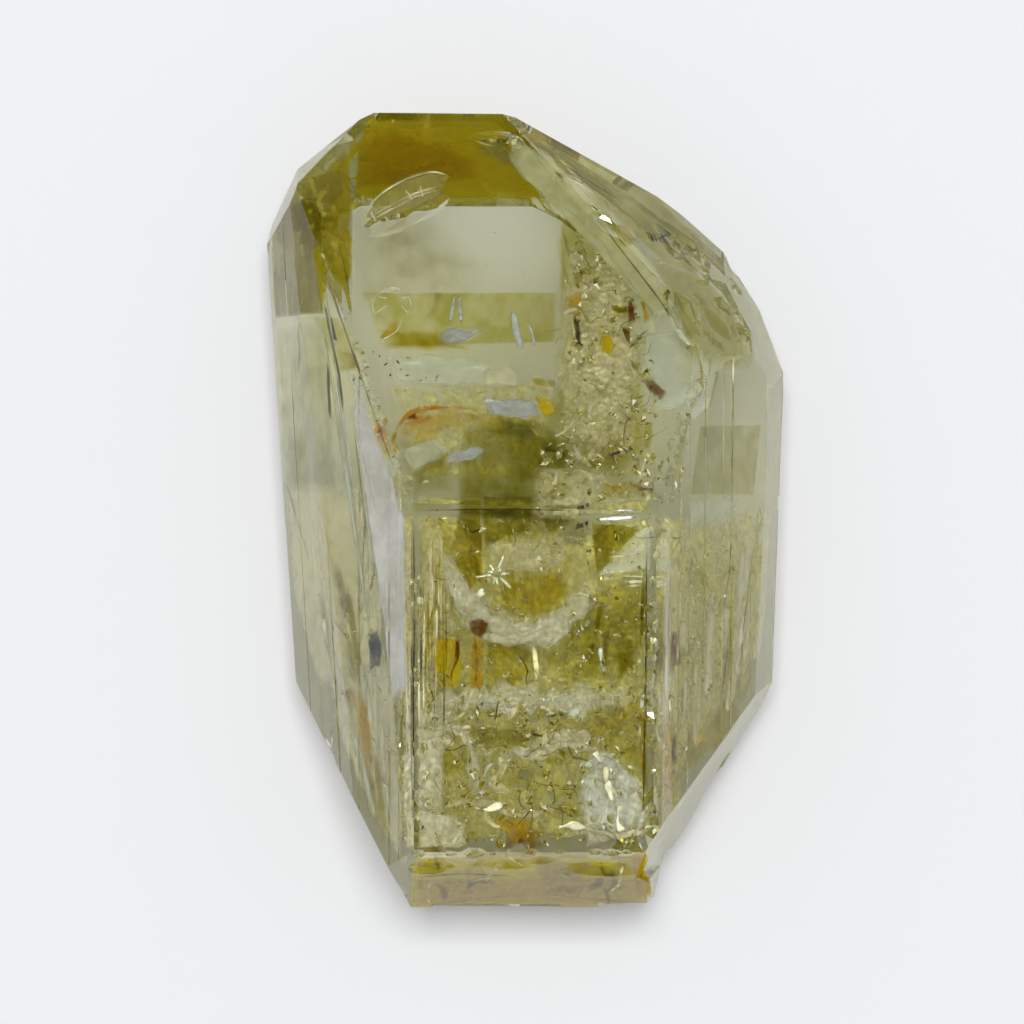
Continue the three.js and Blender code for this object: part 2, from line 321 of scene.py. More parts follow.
crystal = bpy.data.objects.new("topaz_crystal", crystal_skin())
bpy.context.collection.objects.link(crystal)
crystal.data.materials.append(topaz)
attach(crystal, ROOT)
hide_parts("crystal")

# %% [markdown]
# ## Where things lie inside the stone
#
# Nearly everything that one sees in this stone hangs somewhere under one of its faces. So the
# faces are measured first, by letting a ray fall on each of them, and a crack or a stain is then
# placed by how deep it lies under its face. Depths and places from here on are in millimetres.

# %% The faces, measured
RAY_START = 0.1
solid = bmesh.new()
solid.from_mesh(frame["nodes"]["crystal"].data)
stone = BVHTree.FromBMesh(solid)
solid.free()
PLACES_ON_FACES = {
    "front": (-2.0, -14.0),
    "dome": (-3.0, 12.0),
    "left": (-11.0, -8.0),
    "far left": (-18.0, 4.0),
    "right": (12.0, -6.0),
    "shoulder": (5.0, 25.0),
    "low shoulder": (13.5, 12.0),
    "base": (-2.0, -28.5),
    "heel": (11.5, -25.5),
}
PLACE_UNDER_TIP = (-4.0, 25.0)


def measured_face(x, y, side=1):
    """The place and the slopes of the face over or under a point, in millimetres."""
    start = Vector((x * MM, y * MM, RAY_START * side))
    place, normal, _, _ = stone.ray_cast(start, Vector((0, 0, -side)))
    return place / MM, -normal.x / normal.z, -normal.y / normal.z


FACES = {name: measured_face(x, y) for name, (x, y) in PLACES_ON_FACES.items()}
FACES["back"] = (Vector((0, 0, LOW.z / MM)), 0.0, 0.0)
FACES["back dome"] = measured_face(*PLACE_UNDER_TIP, side=-1)
for name, (place, slope_x, slope_y) in FACES.items():
    print(name, "passes", [round(v, 1) for v in place], "slopes", round(slope_x, 2), round(slope_y, 2))


def height_on(face, x, y):
    """Height of a face's plane over a point."""
    place, slope_x, slope_y = FACES[face]
    return place.z + slope_x * (x - place.x) + slope_y * (y - place.y)


# %% [markdown]
# ## Thin films
#
# Cracks, stains and veils in a crystal are films a few hundredths of a millimetre thick, so two
# helpers make them all. A pane is a film with corners, and a ribbon is one that follows a path.
# A single sheet of faces would be simpler, but a closed film is a real piece with an inside and an
# outside, so each has an upper and a lower sheet that meet along the rim. Both kinds carry two
# attributes: `tint`, the film's colour, and `cover`, how strongly it shows. Cover falls off towards
# the rim, so that a stain can fade out where a mirror has to end sharply.

# %% Film helpers
FILM_THICKNESS = 0.03
UNDER_SKIN = 0.04 * MM
STICKS_OUT = 0.3 * MM


def wave(x, y, z, size):
    """Smooth noise between about -1 and 1, with waves of the given size."""
    return noise.noise(Vector((x, y, z)) / size)


def new_film():
    """An empty mesh for films."""
    form = bmesh.new()
    form.verts.layers.float_color.new("tint")
    form.verts.layers.float.new("cover")
    return form


def under_the_skin(place):
    """A place in the scene, moved just under the stone's skin if it would clearly stick out."""
    skin, out, _, _ = stone.find_nearest(place)
    if (place - skin).dot(out) > STICKS_OUT:
        return skin - out * UNDER_SKIN
    return place


def add_point(form, place, tint, cover):
    """One point of a film, placed in millimetres."""
    point = form.verts.new(under_the_skin(Vector(place) * MM))
    point[form.verts.layers.float_color["tint"]] = (*tint, 1)
    point[form.verts.layers.float["cover"]] = cover
    return point


def faded(part, soft):
    """How strongly a film shows at a part of the way from its rim: 0 on the rim, then up to 1."""
    t = min(1.0, part / soft)
    return t * t * (3 - 2 * t)


# %% Panes
OUTLINE_STEP = 0.45
PANE_RINGS = (0.25, 0.5, 0.7, 0.84, 0.93, 0.98)
# Each relief has long waves and weaker short ones.
RAG_LONG, RAG_SHORT, RAG_SHORT_PART = 1.6, 0.5, 0.6
RIPPLE_LONG, RIPPLE_SHORT, RIPPLE_SHORT_PART = 2.2, 0.7, 0.4
SHORT_RAG_LEVEL = 7


def ragged_outline(corners, ragged):
    """Walks round the corners in short steps that are pushed in and out, like a real break."""
    path = []
    for start, end in zip(corners, corners[1:] + corners[:1]):
        start, end = Vector(start), Vector(end)
        side = end - start
        out = Vector((side.y, -side.x)).normalized()
        steps = max(1, round(side.length / OUTLINE_STEP))
        for step in range(steps):
            spot = start.lerp(end, step / steps)
            push = wave(spot.x, spot.y, 0, RAG_LONG)
            push += RAG_SHORT_PART * wave(spot.x, spot.y, SHORT_RAG_LEVEL, RAG_SHORT)
            path.append(spot + out * push * ragged)
    return path


def add_pane(
    form, corners, face, depth, tint=(1, 1, 1), strength=1.0, soft=0.3,
    ragged=0.2, bow=0.0, ripple=0.1, tilt=(0, 0), thick=FILM_THICKNESS,
):
    """Adds a film with corners, parallel to a face and at a depth below it, or tilted from it."""
    path = ragged_outline(corners, ragged)
    middle = sum(path, Vector((0, 0))) / len(path)
    sign = 1 if face.startswith("back") else -1

    def ring(part, side):
        row = []
        for edge in path:
            x, y = middle.lerp(edge, part)
            z = height_on(face, x, y) + sign * depth + bow * part * part
            z += tilt[0] * (x - middle.x) + tilt[1] * (y - middle.y)
            relief = wave(x, y, depth, RIPPLE_LONG) + RIPPLE_SHORT_PART * wave(x, y, depth, RIPPLE_SHORT)
            z += ripple * relief
            z += side * thick * math.sqrt(1 - part * part) / 2
            row.append(add_point(form, (x, y, z), tint, strength * faded(1 - part, soft)))
        return row

    rim = ring(1.0, 0)
    for side in (1, -1):
        rows = [ring(part, side) for part in PANE_RINGS] + [rim]
        x, y = middle
        z = sum(point.co.z for point in rows[0]) / len(rows[0]) / MM
        pole = add_point(form, (x, y, z), tint, strength)
        for step in range(len(path)):
            after = (step + 1) % len(path)
            close_face(form, [pole, rows[0][step], rows[0][after]], side)
            for inner, outer in zip(rows, rows[1:]):
                close_face(form, [inner[step], outer[step], outer[after], inner[after]], side)


def close_face(form, corners, side):
    """One face of a film, turned to look out of it."""
    form.faces.new(corners if side > 0 else corners[::-1])


# %% Ribbons
RIBBON_COLUMNS = 6
RIBBON_RAG = 0.8
RIBBON_RIPPLE = 1.2
RIBBON_RIPPLE_LEVEL = 3
NARROWEST_END = 0.02


def smooth_path(points, steps):
    """A smooth curve through a few points, by Catmull and Rom's rule."""
    points = [Vector(point) for point in points]
    ends = [2 * points[0] - points[1]] + points + [2 * points[-1] - points[-2]]
    path = []
    for before, start, end, after in zip(ends, ends[1:], ends[2:], ends[3:]):
        for step in range(steps):
            t = step / steps
            path.append(0.5 * (
                2 * start + (end - before) * t
                + (2 * before - 5 * start + 4 * end - after) * t * t
                + (3 * start - before - 3 * end + after) * t * t * t
            ))
    return path + [points[-1]]


def add_ribbon(
    form, points, width, face, depth, tint=(1, 1, 1), strength=1.0, soft=0.6,
    ragged=0.15, ripple=0.1, steps=6,
):
    """Adds a film that follows a path."""
    path = smooth_path(points, steps)
    last = len(path) - 1

    def spot(row, column, side):
        here = path[row]
        ahead = path[min(row + 1, last)] - path[max(row - 1, 0)]
        out = Vector((-ahead.y, ahead.x)).normalized()
        part = 2 * column / RIBBON_COLUMNS - 1
        taper = math.sqrt(max(NARROWEST_END, 1 - (2 * row / last - 1) ** 4))
        reach = width / 2 * taper * (1 + ragged * 2 * wave(here.x, here.y, depth, RIBBON_RAG))
        x, y = here + out * part * reach
        z = height_on(face, x, y) - depth
        z += ripple * wave(x, y, depth + RIBBON_RIPPLE_LEVEL, RIBBON_RIPPLE)
        z += side * FILM_THICKNESS * math.sqrt(1 - part * part) / 2
        end = min(row, last - row) / last * 2
        cover = strength * faded(1 - abs(part), soft) * faded(end, soft / 2)
        return add_point(form, (x, y, z), tint, cover)

    edge_columns = (0, RIBBON_COLUMNS)
    rim = {
        (row, column): spot(row, column, 0)
        for row in range(last + 1) for column in range(RIBBON_COLUMNS + 1)
        if row in (0, last) or column in edge_columns
    }
    for side in (1, -1):
        grid = [
            [rim.get((row, column)) or spot(row, column, side) for column in range(RIBBON_COLUMNS + 1)]
            for row in range(last + 1)
        ]
        for row in range(last):
            for column in range(RIBBON_COLUMNS):
                corners = [
                    grid[row][column], grid[row + 1][column],
                    grid[row + 1][column + 1], grid[row][column + 1],
                ]
                close_face(form, corners, -side)


# %% Pieces
def new_piece(name, mesh):
    """Adds a finished mesh to the crystal as a piece."""
    piece = bpy.data.objects.new(name, mesh)
    bpy.context.collection.objects.link(piece)
    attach(piece, ROOT)
    print(name, "has", len(mesh.polygons), "faces")


def film_piece(name, material, panes=(), ribbons=()):
    """A piece of panes and ribbons."""
    form = new_film()
    for row in panes:
        add_pane(form, **row)
    for row in ribbons:
        add_ribbon(form, **row)
    bmesh.ops.triangulate(form, faces=form.faces)
    mesh = bpy.data.meshes.new(name)
    form.to_mesh(mesh)
    form.free()
    mesh.shade_smooth()
    mesh.materials.append(material)
    new_piece(name, mesh)


def pane(face, depth, tint, corners, **more):
    """A row in a table of panes."""
    return dict(face=face, depth=depth, tint=tint, corners=corners, **more)


def ribbon(face, depth, tint, width, points, **more):
    """A row in a table of ribbons."""
    return dict(face=face, depth=depth, tint=tint, width=width, points=points, **more)


# %% [markdown]
# ## Olive and golden films
#
# Some of the deep olive and golden patches are old, healed fractures that hold a trace of iron, and
# the rest are painted reflection: in the stone, a steep crack mirrors light a long way through the
# olive body, and here a film holds that olive as a fixed tint instead. Two grey panes are painted
# shade, which darkens the clear windows in the dome and in the far left face. Light goes through
# these films and takes on their colour. Their shader is clear, with an index of 1 so that it
# doesn't bend what lies behind, and the film's `tint` colours it. Cloudy noise, and fine fibres that
# run along the crystal, break its cover. A cloudy film also scatters some of the light, which hides
# what lies behind it. A colour in the stone's own volume would be softer, but these patches have
# clear outlines and lie at different depths, so they shift against each other as the stone turns.

# %% Node helpers for patterns
# How a pattern is stretched along X, Y and Z: fibres run along the crystal.
EVEN = (1, 1, 1)
ALONG = (1, 0.16, 1)
FIBRED = (1, 0.6, 1)
NOISE_ROUGHNESS = 0.55
# Nearly all of the noise lies between these two values.
NOISE_LOW, NOISE_HIGH = 0.36, 0.62


def attribute(add, name):
    """Reads a mesh attribute."""
    node = add("ShaderNodeAttribute")
    node.attribute_name = name
    return node


def noise_on_object(add, link, scale, stretch, detail):
    """Noise on the piece's own coordinates. Scale counts waves in a metre."""
    place = add("ShaderNodeTexCoord")
    mapping = add("ShaderNodeMapping")
    mapping.inputs["Scale"].default_value = stretch
    link(place.outputs["Object"], mapping.inputs["Vector"])
    texture = add("ShaderNodeTexNoise")
    texture.inputs["Scale"].default_value = scale
    texture.inputs["Detail"].default_value = detail
    texture.inputs["Roughness"].default_value = NOISE_ROUGHNESS
    link(mapping.outputs["Vector"], texture.inputs["Vector"])
    return texture.outputs["Fac"]


def broken_cover(add, link, layers):
    """A film's cover, broken by layers of noise: waves in a metre, stretch, detail, least cover."""
    cover = attribute(add, "cover").outputs["Fac"]
    for scale, stretch, detail, least in layers:
        layer = add("ShaderNodeMapRange")
        layer.inputs["From Min"].default_value = NOISE_LOW
        layer.inputs["From Max"].default_value = NOISE_HIGH
        layer.inputs["To Min"].default_value = least
        link(noise_on_object(add, link, scale, stretch, detail), layer.inputs["Value"])
        product = add("ShaderNodeMath")
        product.operation = "MULTIPLY"
        link(cover, product.inputs[0])
        link(layer.outputs["Result"], product.inputs[1])
        cover = product.outputs[0]
    return cover


# %% Films for stains and painted light
def stain_and_painted_light_film(name, clear, layers):
    """A film that tints what lies behind it, and how clear it is."""
    material, add, link = new_material(name)
    film = add("ShaderNodeBsdfPrincipled")
    film.inputs["Roughness"].default_value = 0.0
    film.inputs["IOR"].default_value = 1.0
    film.inputs["Transmission Weight"].default_value = clear
    link(attribute(add, "tint").outputs["Color"], film.inputs["Base Color"])
    link(broken_cover(add, link, layers), film.inputs["Alpha"])
    link(film.outputs[0], add("ShaderNodeOutputMaterial").inputs["Surface"])
    return material


clear_stain_and_painted_light = stain_and_painted_light_film("clear_stain_and_painted_light", 1.0, [(420, EVEN, 2, 0.5), (900, FIBRED, 1, 0.7)])
cloudy_stain_and_painted_reflection = stain_and_painted_light_film("cloudy_stain_and_painted_reflection", 0.5, [(420, EVEN, 3, 0.7), (1100, ALONG, 1, 0.8)])
rust_stain = stain_and_painted_light_film("rust_stain", 0.45, [(700, EVEN, 2, 0.5), (1500, ALONG, 1, 0.6)])
tip_stain_and_painted_reflection = stain_and_painted_light_film("tip_stain_and_painted_reflection", 0.6, [(150, EVEN, 3, 0.6)])
streak_stain = stain_and_painted_light_film("streak_stain", 1.0, [(900, ALONG, 0, 0.5)])

# %% Olive and golden panes
OLIVE = (0.46, 0.42, 0.04)
PALE_OLIVE = (0.72, 0.69, 0.26)
GREY_OLIVE = (0.60, 0.57, 0.26)
GOLD = (0.60, 0.49, 0.02)
PALE_GOLD = (0.76, 0.65, 0.13)
DEEP_GOLD = (0.80, 0.60, 0.01)
TIP_OLIVE = (0.90, 0.78, 0.04)
LEAF_OLIVE = (0.68, 0.64, 0.20)
SIDE_OLIVE = (0.40, 0.35, 0.01)
BASE_GOLD = (0.98, 0.88, 0.06)
AMBER_GOLD = (0.86, 0.70, 0.06)
SHOULDER_OLIVE = (0.66, 0.61, 0.14)
BRUISED_OLIVE = (0.68, 0.65, 0.24)
CHAMFER_OLIVE = (0.56, 0.50, 0.10)
PAINTED_WINDOW_SHADE = (0.72, 0.70, 0.52)
PAINTED_SIDE_SHADE = (0.62, 0.64, 0.52)

# Many of these panes are painted reflection: olive that steep cracks would mirror through the stone, held
# here as a fixed tint.
OLIVE_PANES = [
    # The strip beside the dome's clear window, and the band below the window.
    pane("dome", 9, PALE_OLIVE, [(2.8, 23), (5.2, 22.4), (6, 15.4), (2.6, 15.4)], soft=0.2),
    pane("dome", 12, PALE_OLIVE, [(-13, 15), (2.6, 15), (2.6, 11), (-4.4, 10.8), (-11, 10.6)],
         soft=0.06, ragged=0.08),
    pane("dome", 10, GOLD, [(-12, 12.4), (-4.4, 12.2), (-4, 10.6), (-11.2, 10.6)], soft=0.7),
    # The foot of the dome.
    pane("dome", 9, OLIVE, [(-5.2, 4.6), (-2, 5.8), (1.4, 5.4), (3.8, 3), (3.8, -1.4), (-5.4, -0.6)],
         soft=0.15),
    pane("dome", 9, GREY_OLIVE, [(-10.4, 4.4), (-5.4, 3), (-5.4, -0.4), (-8.6, -0.8)], soft=0.5),
    pane("dome", 8, PALE_OLIVE,
         [(2.6, 22), (7.8, 19.8), (9.2, 15.4), (9.4, 7.6), (10, 3.6), (9.8, 0.6), (2, 0), (1, 4.4), (2.2, 9)],
         ragged=0.5, bow=1.0),
    pane("dome", 7, PALE_GOLD, [(4, 12), (9, 9), (9.6, 1.2), (3, 0.6), (2.4, 7)], soft=0.5, ragged=0.6),
    pane("dome", 6, GOLD, [(12.4, 12), (13, 10.4), (12.4, 7.6), (11.6, 7.6)], soft=0.2),
    # The bowl under the middle of the front face, with its dark left side.
    pane("front", 6, GOLD, [(-5, 0), (-3.4, 0), (-3.2, -5), (-4.2, -6.4), (-5.2, -5), (-5.8, -3.2)],
         soft=0.12, ragged=0.12),
    pane("front", 6, OLIVE, [(-3.4, 0), (0.6, 0), (0.6, -1.8), (-1.4, -2.2), (-3, -3)], soft=0.15),
    pane("front", 5.6, GREY_OLIVE, [(-3.4, 0), (2.6, 0), (3.4, -1.6), (0.8, -2.6), (-1.4, -2.2)], soft=0.3),
    pane("front", 6, OLIVE, [(0.8, 0), (2.6, 0), (3.6, -1.2), (2, -2.2)], soft=0.2),
    pane("front", 6, PALE_GOLD, [(-2.2, -6), (0.2, -5), (3.2, -4.6), (3.6, -6.4), (2.6, -7.8),
         (0.2, -8.6), (-2.4, -8)]),
    pane("front", 6, OLIVE, [(5, -1), (8.8, -1.6), (5.4, -5.2)], soft=0.1, ragged=0.1),
    pane("front", 2.2, GOLD, [(5, -1), (8.4, -1.5), (5.4, -4.8)], soft=0.4, ragged=0.2, strength=0.6),
    pane("front", 5.4, PALE_OLIVE, [(-7.4, -0.4), (-5.2, -0.4), (-5.6, -3.6), (-7.4, -4)], soft=0.6,
         ragged=0.5),
    # The olive block at the right, and the small one left of it.
    pane("front", 7, PALE_OLIVE, [(4, -7), (6.2, -5.8), (9.4, -4.8), (9.4, -9.2), (8.6, -13),
         (3.2, -13.6), (1, -11.6), (2.6, -9)],
         soft=0.16, strength=0.75),
    pane("front", 6.4, GREY_OLIVE, [(4.4, -8.8), (9.2, -5.4), (9.2, -9), (7, -11.8), (3.6, -13)],
         soft=0.4, strength=0.45),
    pane("front", 7, PALE_GOLD, [(-3, -10.2), (0.4, -10.4), (0.4, -12.6), (-1, -13.8), (-3, -13.2)],
         soft=0.1),
    # The lower end.
    pane("front", 8, GREY_OLIVE, [(-4.6, -16.6), (0.2, -17), (2.4, -17.4), (-2, -18.8), (-4.4, -18)],
         strength=0.8),
    pane("front", 3, PALE_OLIVE, [(-4.6, -16.4), (1.2, -16.7), (2.4, -17.2), (-0.6, -18.1),
         (-4.2, -18)], soft=0.3, strength=0.45),
    # Painted shade: a grey pane darkens the dome's clear window, where the floor under the stone lies in its
    # shadow.
    pane("dome", 13, PAINTED_WINDOW_SHADE, [(-14, 23), (-8, 22.4), (-2, 17), (-3, 14), (-14, 13)], soft=0.9),
    pane("front", 6, PALE_GOLD, [(4.2, -16.4), (7.6, -15), (9.4, -15.2), (9.4, -20.4), (8.4, -19.8),
         (5.4, -17.4)],
         soft=0.1, ragged=0.1, strength=0.5),
    pane("front", 7, PALE_OLIVE, [(-7, -18.8), (-4.4, -18.8), (-4.4, -20.4), (-6.8, -20.4)], soft=0.2),
    pane("front", 7, PALE_OLIVE, [(-0.6, -20.4), (4.2, -20), (3.6, -22.4), (2, -24.4), (0.2, -24)],
         soft=0.6, strength=0.4),
    # The sides.
    # Painted shade: a grey pane darkens the clear window in the upper part of the far left face.
    pane("far left", 3, PAINTED_SIDE_SHADE, [(-19, 14.6), (-15.4, 14.6), (-14.2, 1), (-18.2, 1)], soft=0.15),
    pane("far left", 6, PALE_OLIVE, [(-17.6, 7), (-15.4, 6.8), (-14.8, 0), (-16.6, -0.4)], soft=0.5),
    pane("right", 6, GREY_OLIVE, [(11.8, 6.4), (16.8, 6.6), (16.2, 1), (11, 1)], strength=0.7,
         soft=0.06, ragged=0.05),
    pane("right", 6, PALE_OLIVE, [(9.6, -2.8), (12, -1.8), (15.6, -2.8), (15.4, -10.2), (14, -14),
         (11.8, -17.4), (9.4, -16.8)],
         soft=0.4),
    # The shoulder is olive all over, and so is the steep face at the right of the broken base.
    pane("shoulder", 2, SHOULDER_OLIVE, [(0.6, 29.6), (5.4, 27.4), (8.8, 25), (13.6, 20.6),
         (13.4, 17.4), (10.4, 18.6), (6, 23), (1.6, 27.8)],
         soft=0.1, strength=0.8),
    pane("low shoulder", 3, PALE_OLIVE, [(9.4, 19.4), (12.8, 18), (16, 14.6), (16.6, 11), (13, 10.6),
         (11, 15)], soft=0.3),
    pane("heel", 3, PALE_OLIVE, [(9.9, -24.8), (12.4, -21.6), (15, -18.6), (15.6, -19.4), (13.4, -24.4),
         (11, -28.4), (9.8, -30.2)],
         soft=0.06, ragged=0.1),
    pane("heel", 5, PALE_GOLD, [(9.9, -25.4), (11.2, -24), (11.4, -26.8), (10, -29.6)], soft=0.4),
]
film_piece("olive_films", clear_stain_and_painted_light, OLIVE_PANES)

# %% Cloudy golden panes
# The tip band is partly painted reflection: the deep gold of light mirrored a long way through the stone,
# held as a fixed tint.
TIP_PANES = [
    # The tip: a golden band with a level lower edge, deepest at its left.
    pane("back dome", 0.6, TIP_OLIVE, [(-13.5, 29.6), (-2.6, 29.6), (2.2, 25), (3.2, 22.5), (3.2, 21.9),
         (-13.4, 21.9), (-15.2, 25)],
         soft=0.04, ragged=0.06),
    pane("back dome", 0.9, DEEP_GOLD, [(-14.4, 27.6), (-10.6, 29.6), (-6.4, 28), (-3.4, 26.2), (-3, 24),
         (-10.4, 22.8), (-13.6, 23)],
         soft=0.5),
    pane("back dome", 1.2, PALE_OLIVE, [(-3.6, 29.4), (2.4, 24.8), (0.4, 24.4), (-4, 27)], soft=0.6),
]
# Like the clear panes, these are partly stains and partly painted reflection.
CLOUDY_PANES = [
    pane("dome", 2.5, GOLD, [(-17.6, 23.6), (-14, 27.8), (-13.6, 23.4), (-13.4, 14.4), (-14, 16),
         (-16.6, 20.6)], soft=0.1),
    # The olive end of the far left face, the bruised shoulder, and a leaf-shaped crack at the tip.
    pane("far left", 2.6, SIDE_OLIVE, [(-19.4, 21), (-18.2, 23.4), (-16.2, 24.8), (-15.8, 24.4),
         (-15.6, 15), (-19.1, 15)],
         soft=0.04, ragged=0.05),
    pane("left", 1.5, CHAMFER_OLIVE, [(-18.2, 22), (-16.6, 26), (-14, 28.2), (-13.8, 26.6),
         (-16.2, 21)], soft=0.1, strength=0.8),
    pane("low shoulder", 1.6, BRUISED_OLIVE, [(10.6, 19), (13.4, 18), (17.8, 13), (17.2, 10.6),
         (13.2, 10.4), (11.6, 14)],
         soft=0.3),
    pane("dome", 1.6, LEAF_OLIVE,
         [(-12.6, 22.2), (-11.6, 23.8), (-9.6, 25.2), (-7.4, 25.9), (-5.8, 25.7), (-6.4, 24.6),
         (-8.6, 23.3), (-11, 22.4)],
         soft=0.05, ragged=0.05),
    # The broken base.
    pane("base", 1.2, BASE_GOLD, [(-8.6, -26.2), (9.2, -26.2), (9.6, -30.6), (-9, -30.7)], soft=0.05,
         ragged=0.1),
    pane("base", 1.7, BASE_GOLD, [(-8.8, -26.4), (9.4, -26.4), (9.6, -30.6), (-9, -30.7)], soft=0.04,
         ragged=0.05),
    pane("base", 0.5, AMBER_GOLD, [(-8.8, -28.2), (-2, -28.4), (3.4, -28), (9.4, -28.4), (9.4, -30.7),
         (-9, -30.7)], soft=0.2, ragged=0.3),
    pane("base", 0.4, PALE_GOLD, [(0.4, -26.6), (4.8, -26.6), (4.6, -28.6), (1.4, -29.4)], soft=0.7,
         ragged=0.6),
    pane("base", 0.6, DEEP_GOLD, [(8, -25.8), (9.6, -26), (9.8, -30.2), (8.6, -30.2)], soft=0.4),
]
film_piece("tip_cloud", tip_stain_and_painted_reflection, TIP_PANES)
film_piece("golden_clouds", cloudy_stain_and_painted_reflection, CLOUDY_PANES)

# %% [markdown]
# ## Rust
#
# Water that once crept into the cracks left iron in them: an orange smear, a yellow plate, brown
# stripes and dots. Paint on the skin could show them too, but they hang at several depths, so these
# are the same kind of film, in stronger colours.

# %% Rust films
ORANGE = (0.80, 0.36, 0.02)
AMBER = (0.80, 0.52, 0.02)
YELLOW = (0.94, 0.75, 0.01)
RUST_BROWN = (0.24, 0.09, 0.01)
DARK_BROWN = (0.09, 0.05, 0.02)
SLATE = (0.10, 0.11, 0.14)
DULL_RED = (0.62, 0.34, 0.20)
UMBER_HAZE = (0.46, 0.38, 0.24)

